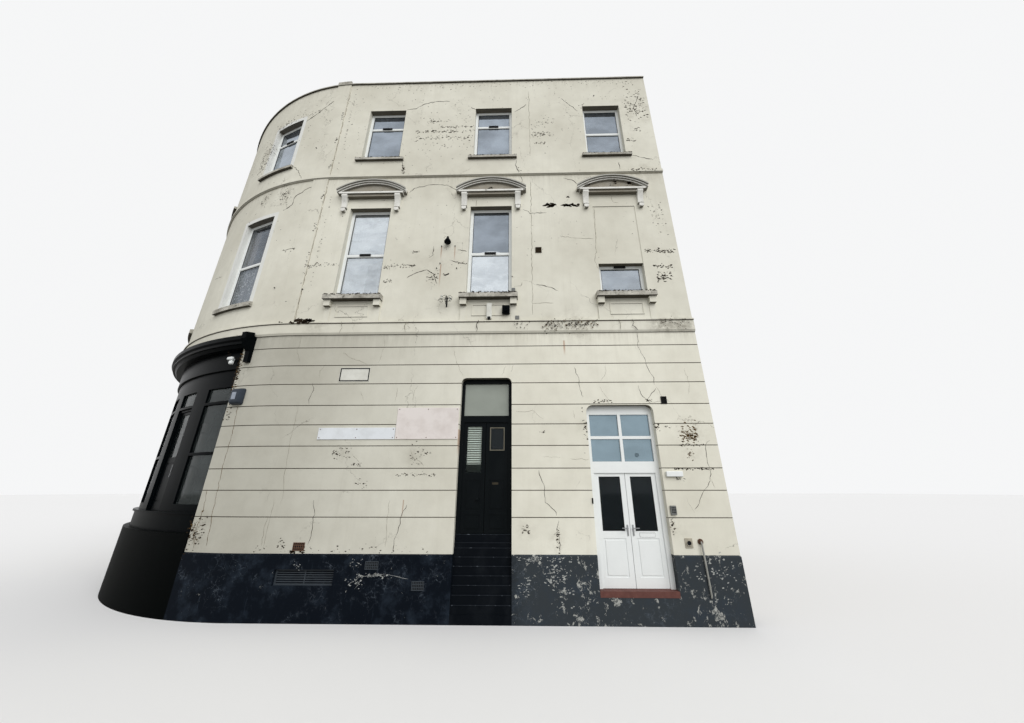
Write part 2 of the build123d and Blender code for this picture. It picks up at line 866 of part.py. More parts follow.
# Shopfront
def mirrored(angles):
    """Both halves of the shopfront; the middle post is its own mirror image."""
    twins = [(2 * shop_middle - end, 2 * shop_middle - start) for start, end in angles[:-1]]
    return angles + twins[::-1]


def shop_bays():
    posts = mirrored(shop_post_angles)
    return [(posts[i][1], posts[i + 1][0]) for i in range(len(posts) - 1)]


def shopfront():
    front, back = -shop_frame_back, -shop_frame_back - shop_frame_depth
    sill_top = shop_floor
    sill_low = sill_top - shop_sill_thickness
    posts = [corner_run(strip(front, back, sill_top, shop_head_bottom), *angles)
             for angles in mirrored(shop_post_angles)]
    rails, glass = [], []
    glass_front = (front + back + glass_thickness) / 2
    transom_tops = [shop_lower_transom + shop_transom_height,
                    shop_upper_transom + shop_transom_height]
    for number, (start, end) in enumerate(shop_bays()):
        upper_pane = (transom_tops[1], shop_head_bottom)
        rails.append(corner_run(strip(front, back, shop_upper_transom, transom_tops[1]), start, end))
        if number == shop_door_bay:
            heights = [upper_pane]
        else:
            rails.append(corner_run(strip(front, back, shop_lower_transom, transom_tops[0]),
                                    start, end))
            rails.append(corner_run(strip(front, back, sill_top, sill_top + shop_bottom_rail),
                                    start, end))
            heights = [(sill_top + shop_bottom_rail, shop_lower_transom),
                       (transom_tops[0], shop_upper_transom), upper_pane]
        glass += [corner_run(strip(glass_front, glass_front - glass_thickness, low, high),
                             start, end) for low, high in heights]
    base = corner_run(strip(plinth_out, -ground_wall, 0, shop_base_top), shop_start, shop_end)
    stallriser = corner_run(
        strip(-shop_stallriser_back, -ground_wall, shop_base_top, sill_low), shop_start, shop_end)
    stallriser += corner_run(
        strip(-shop_stallriser_back + shop_sill_out, -ground_wall, sill_low, sill_top),
        shop_start, shop_end)
    head = corner_run(strip(front, back, shop_head_bottom, shop_beam_bottom), shop_start, shop_end)
    fascia = corner_run(strip(-fascia_back, -fascia_back - fascia_thickness,
                              shop_beam_bottom, fascia_top), shop_start, shop_end)
    step, height = cornice_out / 4, (band_bottom - fascia_top) / 4
    cornice_section = [
        (0, fascia_top), (step, fascia_top), (2 * step, fascia_top + height),
        (3 * step, fascia_top + height), (3 * step, fascia_top + 2 * height),
        (cornice_out, fascia_top + 2.5 * height), (cornice_out, band_bottom), (0, band_bottom)]
    cornice = corner_run(cornice_section, shop_console_angle + shop_console_half,
                         console_ends[1] - shop_console_half)
    cornice += corner_run(strip(0, -fascia_back - fascia_thickness, fascia_top, band_bottom),
                          shop_start, shop_end)
    foot = shop_beam_bottom + shop_console_above_beam
    rise = band_bottom + shop_console_rise
    clear_band = band_out + shop_console_clearance
    console_section = [
        (0, foot), (shop_console_foot_out, foot),
        (shop_console_waist_out, fascia_top - 2 * height),
        (cornice_out, fascia_top - height / 2), (shop_console_out, fascia_top + 2 * height),
        (shop_console_out, rise - shop_console_fall), (clear_band, rise),
        (clear_band, band_bottom), (0, band_bottom)]
    consoles = [corner_run(console_section, angle - shop_console_half, angle + shop_console_half)
                for angle in console_ends]
    return {
        "shop_base": [base], "shop_stallriser": [stallriser], "shop_posts": posts,
        "shop_rails": rails, "shop_glass": glass, "shop_head": [head],
        "shop_fascia": [fascia], "shop_cornice": [cornice], "shop_consoles": consoles,
    }


def pull_handle(x, z, depth):
    """A square bar on two stand-offs, on the outside of a leaf."""
    half, front = pull_bar / 2, depth - pull_reach
    solid = block(x - half, x + half, front, front + pull_bar, z, z + pull_length)
    for start in (z + pull_bar, z + pull_length - 2 * pull_bar):
        solid += block(x - half, x + half, front, depth, start, start + pull_bar)
    return solid


def shop_door():
    """A flat leaf in one bay of the curve, hinged on the side away from the street front."""
    start, end = shop_bays()[shop_door_bay]
    place = corner_place((start + end) / 2)
    half_angle = math.radians((end - start) / 2)
    back_radius = corner_radius - shop_frame_back - shop_frame_depth
    inner = corner_radius - back_radius * math.cos(half_angle)
    recess = inner - leaf_thickness - leaf_gap - door_stop_depth
    clear = back_radius * math.sin(half_angle) - shop_door_jamb
    head = shop_upper_transom - shop_door_head
    shape = rectangle(-corner_radius, corner_radius, shop_floor, shop_upper_transom)
    bay = corner_run(strip(0, -corner_radius / 2, shop_floor, shop_upper_transom), start, end)
    frame = place * door_frame(shape, clear, shop_floor, head, recess, sides=(-1,)) & bay
    low, high = shop_floor + leaf_gap, head - leaf_gap
    x0, x1 = -clear + leaf_gap, clear - leaf_gap
    stile, lock_rail = shop_door_stile, low + shop_door_lock_rail
    glass = [(x0 + stile, x1 - stile, lock_rail, high - shop_door_top_rail)]
    panels = [(x0 + stile, x1 - stile, low + shop_door_bottom_rail,
               lock_rail - shop_door_middle_rail)]
    solid, sheets = leaf(x0, x1, low, high, recess, glass, panels, -1)
    outer = leaf_depths(recess)[0]
    pull = pull_handle(x1 - stile / 2, low + pull_height, outer)
    return {
        "shop_door_frame": [frame],
        "shop_door_leaf": [place * solid],
        "shop_door_glass": [place * sheet for sheet in sheets],
        "shop_door_pull": [place * pull],
    }


def build():
    parts = {name: [solid] for name, solid in ground_walls().items()}
    parts["plinth"] = plinth()
    parts["cellar_grille"] = [front_place(grille_x) * cellar_grille()]
    parts.update({name: [solid] for name, solid in upper_walls().items()})
    parts.update({name: [solid] for name, solid in party_walls().items()})
    parts["ground_floors"] = ground_floors()
    parts["first_floor"] = [slab(ground_wall, first_floor_top, floor_thickness)]
    parts["second_floor"] = [slab(upper_wall, second_floor_top, floor_thickness)]
    parts["roof"] = [slab(upper_wall, roof_top, roof_thickness)]
    parts["coping"] = [coping()]
    parts["floor_band"] = [floor_band()]
    parts["string_course"] = [string_course()]
    parts["pilasters"] = pilasters()
    parts["window_sills"] = window_sills()
    rows = window_rows()
    parts["window_frames"] = [place * window_frame(*row) for place, *row in rows]
    parts["window_glass"] = [place * sheet for place, *row in rows for sheet in window_glass(*row)]
    parts["window_hoods"] = [front_place(x) * hood() for x in front_bays]
    parts["window_aprons"] = [front_place(x) * apron() for x in front_bays]
    parts.update(black_door())
    parts.update(white_door())
    parts.update(shopfront())
    parts.update(shop_door())
    return parts


os.makedirs("parts", exist_ok=True)
for name, solids in build().items():
    export_step(Compound([solid for item in solids for solid in item.solids()]),
                f"parts/{name}.step")
    print(name, len(solids))
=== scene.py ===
import math
import random

import bmesh
import bpy
from mathutils import Matrix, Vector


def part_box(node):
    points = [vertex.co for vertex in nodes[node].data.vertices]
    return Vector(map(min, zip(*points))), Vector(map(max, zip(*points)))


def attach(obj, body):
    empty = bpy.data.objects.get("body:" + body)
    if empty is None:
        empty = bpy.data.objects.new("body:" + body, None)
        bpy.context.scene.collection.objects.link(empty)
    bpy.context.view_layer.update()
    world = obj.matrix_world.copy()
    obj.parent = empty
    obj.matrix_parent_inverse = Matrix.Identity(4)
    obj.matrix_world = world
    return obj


# Corner shop building: paint, wear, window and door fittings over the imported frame
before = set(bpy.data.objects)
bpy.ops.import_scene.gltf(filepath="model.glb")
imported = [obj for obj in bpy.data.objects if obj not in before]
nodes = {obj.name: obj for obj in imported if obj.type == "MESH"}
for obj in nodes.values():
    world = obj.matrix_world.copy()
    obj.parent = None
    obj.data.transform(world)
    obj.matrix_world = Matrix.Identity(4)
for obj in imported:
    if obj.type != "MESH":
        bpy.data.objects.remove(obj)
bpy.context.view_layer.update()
print("frame loaded:", len(nodes), "nodes")

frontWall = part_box("front_wall_upper")
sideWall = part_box("side_wall_upper")
plan = {
    "frontY": frontWall[0].y,
    "cornerX": frontWall[0].x,
    "cornerY": sideWall[0].y,
    "leftX": sideWall[0].x,
    "rightX": frontWall[1].x,
    "radius": frontWall[0].x - sideWall[0].x,
}


# Places on the walls: x runs along the wall, y into it, z up
def frontPlace(along, z=0.0, depth=0.0):
    # along starts where the curve starts
    return Matrix.Translation((plan["cornerX"] + along, plan["frontY"] + depth, z))


def cornerPlace(angle, z=0.0, depth=0.0):
    turn = math.radians(angle)
    reach = plan["radius"] - depth
    spot = (plan["cornerX"] - reach * math.sin(turn), plan["cornerY"] - reach * math.cos(turn), z)
    return Matrix.Translation(spot) @ Matrix.Rotation(-turn, 4, "Z")


def sidePlace(y, z=0.0, depth=0.0):
    return Matrix.Translation((plan["leftX"] + depth, y, z)) @ Matrix.Rotation(math.radians(-90), 4, "Z")


def wallPlace(along, z=0.0, depth=0.0):
    # one strip of wall: below 0 it goes on round the curve
    if along >= 0:
        return frontPlace(along, z, depth)
    return cornerPlace(math.degrees(-along / plan["radius"]), z, depth)


# Window rows: the bays, and the heights of sill, meeting rail and head
windows = {
    "frontBays": [1.185, 4.57, 7.955],
    "cornerBays": [19.5, 48.3, 77.1],
    "sideBay": 1.86,
    "first": (6.86, 8.22, 9.715),
    "firstRight": (6.86, 7.765),
    "second": (11.62, 13.065, 13.73),
    "secondRight": (11.62, 12.65, 13.73),
    "halfGlass": 0.513,
    "frameWidth": 0.062,
    "halfRail": 0.028,
    "frameDepth": 0.15,
}


def windowPlaces():
    # each window's place on its wall, with its heights
    rows = []
    for bay, along in enumerate(windows["frontBays"]):
        last = bay == len(windows["frontBays"]) - 1
        rows.append((frontPlace(along), windows["firstRight" if last else "first"]))
        rows.append((frontPlace(along), windows["secondRight" if last else "second"]))
    for angle in windows["cornerBays"]:
        rows += [(cornerPlace(angle), windows["first"]), (cornerPlace(angle), windows["second"])]
    side = sidePlace(plan["cornerY"] + windows["sideBay"])
    return rows + [(side, windows["first"]), (side, windows["second"])]


def paneHeights(levels):
    # the clear height of each pane between frame and rails
    lows = [levels[0] + windows["frameWidth"]] + [v + windows["halfRail"] for v in levels[1:-1]]
    highs = [v - windows["halfRail"] for v in levels[1:-1]] + [levels[-1] - windows["frameWidth"]]
    return list(zip(lows, highs))


# Modelling helpers
def deselectAll():
    if bpy.context.mode != "OBJECT":
        bpy.ops.object.mode_set(mode="OBJECT")
    bpy.ops.object.select_all(action="DESELECT")


def pick(piece):
    deselectAll()
    bpy.context.view_layer.objects.active = piece
    piece.select_set(True)


def applyPlace(piece):
    pick(piece)
    bpy.ops.object.transform_apply(location=True, rotation=True, scale=True)


def settle(piece, place):
    piece.matrix_world = place @ piece.matrix_world
    applyPlace(piece)
    return piece


def editAll():
    bpy.ops.object.mode_set(mode="EDIT")
    bpy.ops.mesh.select_all(action="SELECT")


def closeEdit():
    # turns all faces outwards and leaves edit mode
    bpy.ops.mesh.select_all(action="SELECT")
    bpy.ops.mesh.normals_make_consistent(inside=False)
    bpy.ops.object.mode_set(mode="OBJECT")


def startBox(x, y, z):
    # x, y and z are (low, high) pairs
    deselectAll()
    middle = [(low + high) / 2 for low, high in (x, y, z)]
    bpy.ops.mesh.primitive_cube_add(size=1, location=middle)
    piece = bpy.context.object
    piece.scale = [high - low for low, high in (x, y, z)]
    applyPlace(piece)
    return piece


def around(middle, width):
    return middle - width / 2, middle + width / 2


def soften(piece, width, steps=2):
    pick(piece)
    bevel = piece.modifiers.new("softEdges", "BEVEL")
    bevel.width = width
    bevel.segments = steps
    bevel.limit_method = "ANGLE"
    bpy.ops.object.modifier_apply(modifier=bevel.name)
    return piece


def startRing(x, z, width, y, bevel=0.0):
    # a flat frame in the wall's plane, from depth y[0] to y[1]
    deselectAll()
    bpy.ops.mesh.primitive_plane_add(
        size=1, location=((x[0] + x[1]) / 2, y[0], (z[0] + z[1]) / 2),
        rotation=(math.radians(90), 0, 0))
    piece = bpy.context.object
    piece.scale = (x[1] - x[0], z[1] - z[0], 1)
    applyPlace(piece)
    editAll()
    bpy.ops.mesh.inset(thickness=width, depth=0)
    bpy.ops.mesh.delete(type="FACE")
    bpy.ops.mesh.select_all(action="SELECT")
    bpy.ops.mesh.extrude_region_move(TRANSFORM_OT_translate={"value": (0, y[1] - y[0], 0)})
    closeEdit()
    if bevel:
        soften(piece, bevel)
    return piece


def startDrum(radius, y, z=0.0, x=0.0, sides=24):
    # a round piece whose axis points out of the wall
    deselectAll()
    bpy.ops.mesh.primitive_cylinder_add(
        vertices=sides, radius=radius, depth=y[1] - y[0],
        location=(x, (y[0] + y[1]) / 2, z), rotation=(math.radians(90), 0, 0))
    piece = bpy.context.object
    applyPlace(piece)
    return piece


def selectFaces(piece, test):
    # in edit mode: picks the faces whose centre and normal pass the test
    bpy.ops.mesh.select_mode(type="FACE")
    bpy.ops.mesh.select_all(action="DESELECT")
    mesh = bmesh.from_edit_mesh(piece.data)
    for face in mesh.faces:
        face.select_set(test(face.calc_center_median(), face.normal))
    bmesh.update_edit_mesh(piece.data)


def recessFront(piece, border, depth):
    # insets the outer face, then pushes it in, or out with a negative depth
    pick(piece)
    front = min(vertex.co.y for vertex in piece.data.vertices)
    bpy.ops.object.mode_set(mode="EDIT")
    selectFaces(piece, lambda middle, normal: normal.y < -0.9 and middle.y < front + 0.0005)
    bpy.ops.mesh.inset(thickness=border, depth=0)
    bpy.ops.mesh.extrude_region_move(TRANSFORM_OT_translate={"value": (0, depth, 0)})
    bpy.ops.object.mode_set(mode="OBJECT")
    return piece


def startPipe(points, radius, resolution=3):
    # a bar or tube that follows the points
    deselectAll()
    curve = bpy.data.curves.new("pipe", "CURVE")
    curve.dimensions = "3D"
    curve.bevel_depth = radius
    curve.bevel_resolution = resolution
    curve.use_fill_caps = True
    line = curve.splines.new("POLY")
    line.points.add(len(points) - 1)
    for point, spot in zip(line.points, points):
        point.co = (*spot, 1.0)
    piece = bpy.data.objects.new("pipe", curve)
    bpy.context.collection.objects.link(piece)
    return curveToMesh(piece)


def curveToMesh(piece):
    pick(piece)
    bpy.ops.object.convert(target="MESH")
    piece = bpy.context.object
    editAll()
    bpy.ops.mesh.remove_doubles(threshold=0.00001)
    closeEdit()
    return piece


def startTurned(profile, steps=20):
    # spins (radius, height) points round the upright axis
    deselectAll()
    bpy.ops.mesh.primitive_plane_add(size=1)
    piece = bpy.context.object
    mesh = bmesh.new()
    spots = [mesh.verts.new((radius, 0, height)) for radius, height in profile]
    for first, second in zip(spots, spots[1:]):
        mesh.edges.new((first, second))
    mesh.to_mesh(piece.data)
    mesh.free()
    editAll()
    bpy.ops.mesh.spin(steps=steps, angle=math.tau, center=(0, 0, 0), axis=(0, 0, 1))
    bpy.ops.mesh.select_all(action="SELECT")
    bpy.ops.mesh.remove_doubles(threshold=0.00005)
    closeEdit()
    return piece


def copyTo(piece, place):
    twin = piece.copy()
    twin.data = piece.data.copy()
    bpy.context.collection.objects.link(twin)
    return settle(twin, place)


def discard(piece):
    bpy.data.objects.remove(piece)


def joinAll(pieces):
    pick(pieces[0])
    for piece in pieces:
        piece.select_set(True)
    if len(pieces) > 1:
        bpy.ops.object.join()
    return bpy.context.object


def finishPiece(piece, name, material, body="building", smooth=0.0):
    piece.name = name
    piece.data.name = name
    piece.data.materials.clear()
    piece.data.materials.append(material)
    if smooth:
        pick(piece)
        bpy.ops.object.shade_smooth_by_angle(angle=math.radians(smooth))
    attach(piece, body)
    return piece


def fixOn(piece, name, material, place=None, smooth=0.0):
    # for pieces made in the wall's plane: set on the street front unless a place is given
    settle(piece, frontPlace(0) if place is None else place)
    return finishPiece(piece, name, material, smooth=smooth)


# Node helpers for the materials
def colour(red, green, blue):
    # screen values from 0 to 255, made linear
    linear = [(v / 255 / 12.92) if v <= 10 else ((v / 255 + 0.055) / 1.055) ** 2.4
              for v in (red, green, blue)]
    return (*linear, 1.0)


def addNode(tree, kind, inputs, **settings):
    node = tree.nodes.new(kind)
    for name, value in settings.items():
        setattr(node, name, value)
    for name, value in inputs.items():
        if isinstance(value, bpy.types.NodeSocket):
            tree.links.new(value, node.inputs[name])
        else:
            node.inputs[name].default_value = value
    return node


def sums(tree, operation, first, second=0.0, clamp=False):
    return addNode(tree, "ShaderNodeMath", {0: first, 1: second},
                   operation=operation, use_clamp=clamp).outputs[0]


def times(tree, first, second, clamp=False):
    return sums(tree, "MULTIPLY", first, second, clamp)


def awayFrom(tree, value, middle):
    return sums(tree, "ABSOLUTE", sums(tree, "SUBTRACT", value, middle))


def fold(tree, operation, masks):
    # one mask from several, by MAXIMUM or MINIMUM
    result = masks[0]
    for mask in masks[1:]:
        result = sums(tree, operation, result, mask)
    return result


def splitAxes(tree, vector):
    return addNode(tree, "ShaderNodeSeparateXYZ", {"Vector": vector}).outputs


def rampUp(tree, value, low, high):
    # 0 below low, 1 above high; with low above high it falls instead
    return addNode(tree, "ShaderNodeMapRange",
                   {"Value": value, "From Min": low, "From Max": high}).outputs[0]


def stretch(tree, vector, scale, move=(0, 0, 0)):
    return addNode(tree, "ShaderNodeMapping",
                   {"Vector": vector, "Scale": scale, "Location": move}).outputs[0]


def noise(tree, vector, scale, detail=3.0, roughness=0.55, distortion=0.0):
    return addNode(tree, "ShaderNodeTexNoise",
                   {"Vector": vector, "Scale": scale, "Detail": detail, "Roughness": roughness,
                    "Distortion": distortion}).outputs[0]


def blend(tree, factor, first, second, kind="MIX"):
    node = addNode(tree, "ShaderNodeMix", {0: factor, 6: first, 7: second},
                   data_type="RGBA", blend_type=kind)
    return node.outputs[2]


def cover(tree, mask, share, tone, over):
    # lays a colour over the tone where the mask is, at a share of its full strength
    return blend(tree, times(tree, mask, share), tone, over)


def shaded(tone, share):
    return [v * share for v in tone[:3]] + [1.0]


def bend(tree, coords, scale, detail, roughness, amount):
    # the coordinates pushed about by a noise
    push = addNode(tree, "ShaderNodeTexNoise", {"Vector": coords, "Scale": scale,
                                                "Detail": detail, "Roughness": roughness})
    push = addNode(tree, "ShaderNodeVectorMath", {0: push.outputs["Color"], "Scale": amount},
                   operation="SCALE")
    return addNode(tree, "ShaderNodeVectorMath", {0: coords, 1: push.outputs[0]}).outputs[0]


def cellEdges(tree, vector, scale):
    return addNode(tree, "ShaderNodeTexVoronoi", {"Vector": vector, "Scale": scale},
                   feature="DISTANCE_TO_EDGE").outputs["Distance"]


def startMaterial(name, roughness=0.7, specular=0.35):
    material = bpy.data.materials.new(name)
    material.use_nodes = True
    tree = material.node_tree
    shader = tree.nodes["Principled BSDF"]
    shader.inputs["Roughness"].default_value = roughness
    shader.inputs["Specular IOR Level"].default_value = specular
    coords = addNode(tree, "ShaderNodeTexCoord", {}).outputs["Object"]
    return material, tree, shader, coords


def applyPaint(tree, shader, tone, height=None, strength=0.4, distance=0.004):
    # the tone on the shader, with a bump if a height is given
    tree.links.new(tone, shader.inputs["Base Color"])
    if height is not None:
        bump = addNode(tree, "ShaderNodeBump",
                       {"Height": height, "Strength": strength, "Distance": distance})
        tree.links.new(bump.outputs[0], shader.inputs["Normal"])


def plainMaterial(name, tone, roughness=0.5, specular=0.35, wear=0.12, scale=9.0, metallic=0.0):
    # one colour with a little unevenness
    material, tree, shader, coords = startMaterial(name, roughness, specular)
    shader.inputs["Metallic"].default_value = metallic
    spots = noise(tree, coords, scale, 4.0, 0.6)
    applyPaint(tree, shader, blend(tree, rampUp(tree, spots, 0.3, 0.7), shaded(tone, 1 - 2 * wear),
                                   list(tone)))
    return material


def lookingDown(tree, low=-0.3, high=-0.75):
    # 1 on faces that look at the ground, where the materials paint shade
    normal = addNode(tree, "ShaderNodeNewGeometry", {}).outputs["Normal"]
    return rampUp(tree, splitAxes(tree, normal)["Z"], low, high)


def nearPlaces(tree, coords, places, outer=1.25, inner=0.2, edge=0.0):
    # the strongest of several round patches: along, height, radius and how much, from 0 to 1
    masks = []
    for along, z, radius, amount in places:
        spot = wallPlace(along, z).translation
        gap = addNode(tree, "ShaderNodeVectorMath", {0: coords, 1: spot},
                      operation="DISTANCE").outputs["Value"]
        near = rampUp(tree, gap, radius * outer + edge, radius * inner)
        masks.append(times(tree, near, amount))
    return fold(tree, "MAXIMUM", masks)


# Cream masonry paint: fine cracks, flaking, soot under the mouldings, rain streaks, painted shade on faces
# that look down, and painted shade on the ground floor towards the shop
creamPaint = {
    "cement": colour(158, 154, 142),
    "bandHeights": (5.8, 6.15),
    "fresh": colour(226, 224, 211),
    "dull": colour(207, 204, 190),
    # painted shade for the faces that look down
    "sootAndShade": colour(66, 59, 47),
    "grime": colour(120, 112, 96),
    "crack": colour(62, 52, 42),
    "bare": colour(96, 82, 66),
    "rust": colour(150, 96, 52),
    "joint": colour(84, 78, 66),
    "jointHeights": [1.777, 2.283, 2.714, 3.175, 3.632, 4.067, 4.565, 5.02, 5.47],
    "jointHalf": 0.007,
    "ledges": [5.8, 10.83, 15.02],   # soot runs down from each of these
    "ledgeRun": 0.75,
    "surround": colour(226, 227, 223),
    "backing": colour(11, 12, 13),   # behind the shop's fascia
    "surroundWidth": 0.13,
    # painted shade and light: the ground floor's paint is darkened towards the shop and lightened at the far
    # end, as the street's shade falls: along and share of the tone
    "shadedEnd": (0.0, 0.7),
    "litEnd": (5.6, 1.1),
}

# Where the paint has come away most: along, height, radius and how much
peeling = [
    (8.95, 3.38, 0.34, 1.0), (8.87, 2.97, 0.2, 0.7), (9.05, 6.0, 0.4, 0.65),
    (9.05, 13.6, 0.75, 0.6), (9.0, 10.9, 0.4, 0.6), (6.75, 6.0, 0.5, 0.85), (6.1, 6.0, 0.3, 0.85),
    (3.2, 7.8, 0.6, 0.3), (5.45, 1.55, 0.2, 0.7), (6.05, 1.35, 0.22, 0.75), (8.3, 1.6, 0.22, 0.7),
    (6.75, 3.55, 0.22, 0.7), (1.5, 3.02, 0.22, 0.6), (3.1, 2.95, 0.25, 0.5),
    (-1.3, 1.45, 0.42, 0.95), (-1.42, 4.9, 0.4, 0.85), (-1.6, 5.6, 0.35, 0.7),
    (-1.5, 10.5, 0.4, 0.75), (-2.4, 10.5, 0.35, 0.6), (-3.0, 12.9, 0.55, 0.85),
    (-2.7, 13.75, 0.5, 0.8), (-1.5, 14.2, 0.6, 0.4), (-5.2, 13.5, 0.9, 0.5),
    (-7.2, 7.2, 0.8, 0.4),
]

# Bare cement on the floor band, in the same terms
cementPatches = [
    (8.75, 5.98, 0.36, 1.0), (9.2, 5.98, 0.36, 0.9), (0.4, 6.0, 0.3, 0.5),
]

# Rust that has run down from old fixings: along, top, foot and half width
rustRuns = [
    (4.0, 3.52, 2.95, 0.022),
    (6.38, 5.6, 5.22, 0.03),
    (3.28, 8.36, 7.95, 0.02),
    (3.3, 7.8, 7.1, 0.02),
    (3.64, 8.34, 7.9, 0.018),
    (2.95, 2.1, 1.75, 0.016),
]


def surroundMask(tree, axes):
    # 1 on the white band round the windows of the curve
    over = sums(tree, "SUBTRACT", plan["cornerX"], axes["X"])
    front = sums(tree, "SUBTRACT", plan["cornerY"], axes["Y"])
    run = times(tree, sums(tree, "ARCTAN2", over, front), plan["radius"])
    half = windows["halfGlass"] + windows["frameWidth"] + creamPaint["surroundWidth"]
    off = fold(tree, "MINIMUM", [awayFrom(tree, run, math.radians(angle) * plan["radius"])
                                 for angle in windows["cornerBays"]])
    rows = []
    for levels in (windows["first"], windows["second"]):
        top = levels[-1] + creamPaint["surroundWidth"]
        rows.append(times(tree, rampUp(tree, axes["Z"], levels[0], levels[0] + 0.002),
                          rampUp(tree, axes["Z"], top, top - 0.002)))
    return times(tree, fold(tree, "MAXIMUM", rows), rampUp(tree, off, half, half - 0.002))


def creamMaterial(name, joints):
    material, tree, shader, coords = startMaterial(name, 0.8, 0.2)
    axes = splitAxes(tree, coords)
    height = axes["Z"]
    # broad unevenness, and streaks that run down the wall
    broad = noise(tree, coords, 0.45, 4.0, 0.6)
    streaks = noise(tree, stretch(tree, coords, (3.2, 3.2, 0.16)), 1.6, 4.0, 0.65)
    tone = blend(tree, rampUp(tree, broad, 0.3, 0.68), creamPaint["dull"], creamPaint["fresh"])
    tone = cover(tree, rampUp(tree, streaks, 0.52, 0.8), 0.5, tone, creamPaint["dull"])
    if not joints:
        tone = blend(tree, surroundMask(tree, axes), tone, creamPaint["surround"])
        # bare cement on the floor band near its right end
        low, high = creamPaint["bandHeights"]
        band = times(tree, rampUp(tree, height, low - 0.002, low),
                     rampUp(tree, height, high + 0.002, high))
        bare = times(tree, nearPlaces(tree, coords, cementPatches), band)
        mottled = rampUp(tree, noise(tree, coords, 7.0, 6.0, 0.75), 0.36, 0.6)
        tone = cover(tree, bare, mottled, tone, creamPaint["cement"])
    patchMask = nearPlaces(tree, coords, peeling)
    # soot that rain carries down from the ledges
    below = fold(tree, "MAXIMUM", [
        times(tree, rampUp(tree, height, ledge - creamPaint["ledgeRun"], ledge),
              rampUp(tree, height, ledge + 0.002, ledge + 0.001)) for ledge in creamPaint["ledges"]])
    runs = noise(tree, stretch(tree, coords, (6.0, 6.0, 0.5)), 1.9, 4.0, 0.7)
    washed = times(tree, sums(tree, "POWER", below, 2.0), rampUp(tree, runs, 0.38, 0.72))
    tone = cover(tree, washed, 0.26, tone, creamPaint["grime"])
    # fine cracks: edges of bent cells
    bent = stretch(tree, bend(tree, coords, 1.7, 5.0, 0.62, 0.75), (0.62, 0.62, 0.3))
    crackPatches = noise(tree, stretch(tree, coords, (1, 1, 1), (7, 3, 1)), 0.9, 2.0)
    hairs = times(tree, rampUp(tree, cellEdges(tree, bent, 1.0), 0.003, 0.0008),
                  rampUp(tree, crackPatches, 0.5, 0.64))
    # small flakes, most of them in the worn patches
    chips = noise(tree, stretch(tree, coords, (1.0, 1.0, 1.5)), 10.5, 6.0, 0.74)
    flakes = rampUp(tree, sums(tree, "ADD", chips, times(tree, patchMask, 0.2)), 0.735, 0.76)
    # grime round the wear, then what lies bare under the paint
    dirt = noise(tree, coords, 3.1, 6.0, 0.7)
    dirty = times(tree, rampUp(tree, dirt, 0.42, 0.75),
                  sums(tree, "ADD", times(tree, patchMask, 0.5), 0.1), True)
    tone = blend(tree, dirty, tone, creamPaint["grime"])
    under = blend(tree, rampUp(tree, noise(tree, coords, 14.0, 3.0), 0.4, 0.62),
                  creamPaint["crack"], creamPaint["bare"])
    tone = cover(tree, flakes, 0.85, tone, under)
    tone = cover(tree, hairs, 0.6, tone, creamPaint["crack"])
    # rust runs on the street front
    rusty = []
    for along, top, foot, half in rustRuns:
        off = awayFrom(tree, axes["X"], plan["cornerX"] + along)
        rusty.append(times(tree, rampUp(tree, off, half, half * 0.2),
                           times(tree, rampUp(tree, height, foot, (foot + top) / 2),
                                 rampUp(tree, height, top + 0.01, top))))
    tone = cover(tree, fold(tree, "MAXIMUM", rusty), 0.6, tone, creamPaint["rust"])
    if joints:
        half = creamPaint["jointHalf"]
        lines = [rampUp(tree, awayFrom(tree, height, level), half * 1.5, half * 0.5)
                 for level in creamPaint["jointHeights"]]
        tone = cover(tree, fold(tree, "MAXIMUM", lines), 0.9, tone, creamPaint["joint"])
        # painted shade and light: the tone scaled from darker at the shop end to lighter at the far end
        share = addNode(tree, "ShaderNodeMapRange",
                        {"Value": sums(tree, "SUBTRACT", axes["X"], plan["cornerX"]),
                         "From Min": creamPaint["shadedEnd"][0], "From Max": creamPaint["litEnd"][0],
                         "To Min": creamPaint["shadedEnd"][1], "To Max": creamPaint["litEnd"][1]})
        tone = addNode(tree, "ShaderNodeVectorMath", {0: tone, "Scale": share.outputs[0]},
                       operation="SCALE").outputs[0]
    # painted shade on faces that look down, lighter near the string course
    nearString = rampUp(tree, awayFrom(tree, height, creamPaint["ledges"][1]), 0.03, 0.01)
    undersideShade = sums(tree, "SUBTRACT", 0.9, times(tree, nearString, 0.45))
    tone = cover(tree, lookingDown(tree), undersideShade, tone, creamPaint["sootAndShade"])
    grain = noise(tree, coords, 34.0, 3.0, 0.6)
    relief = sums(tree, "SUBTRACT", times(tree, grain, 0.35), sums(tree, "MAXIMUM", flakes, hairs))
    waves = times(tree, noise(tree, coords, 2.0, 2.0), 2.2)
    applyPaint(tree, shader, tone, sums(tree, "ADD", relief, waves), 0.5, 0.006)
    return material, tree, shader, tone, height


def overShopMaterial():
    # the wall over the shop: cream above the cornice, black where it backs the fascia
    material, tree, shader, tone, height = creamMaterial("creamOverShop", False)
    low = rampUp(tree, height, creamPaint["ledges"][0] + 0.001, creamPaint["ledges"][0])
    applyPaint(tree, shader, blend(tree, low, tone, creamPaint["backing"]))
    return material


# Blue-black plinth paint, flaking to white towards the low end of the street
plinthPaint = {
    "blue": colour(10, 16, 24),
    "grey": colour(55, 60, 64),
    "flake": colour(172, 173, 168),
    "scuff": colour(52, 62, 74),
    "vein": colour(120, 130, 142),
    "greyFromAlong": 5.1,
}


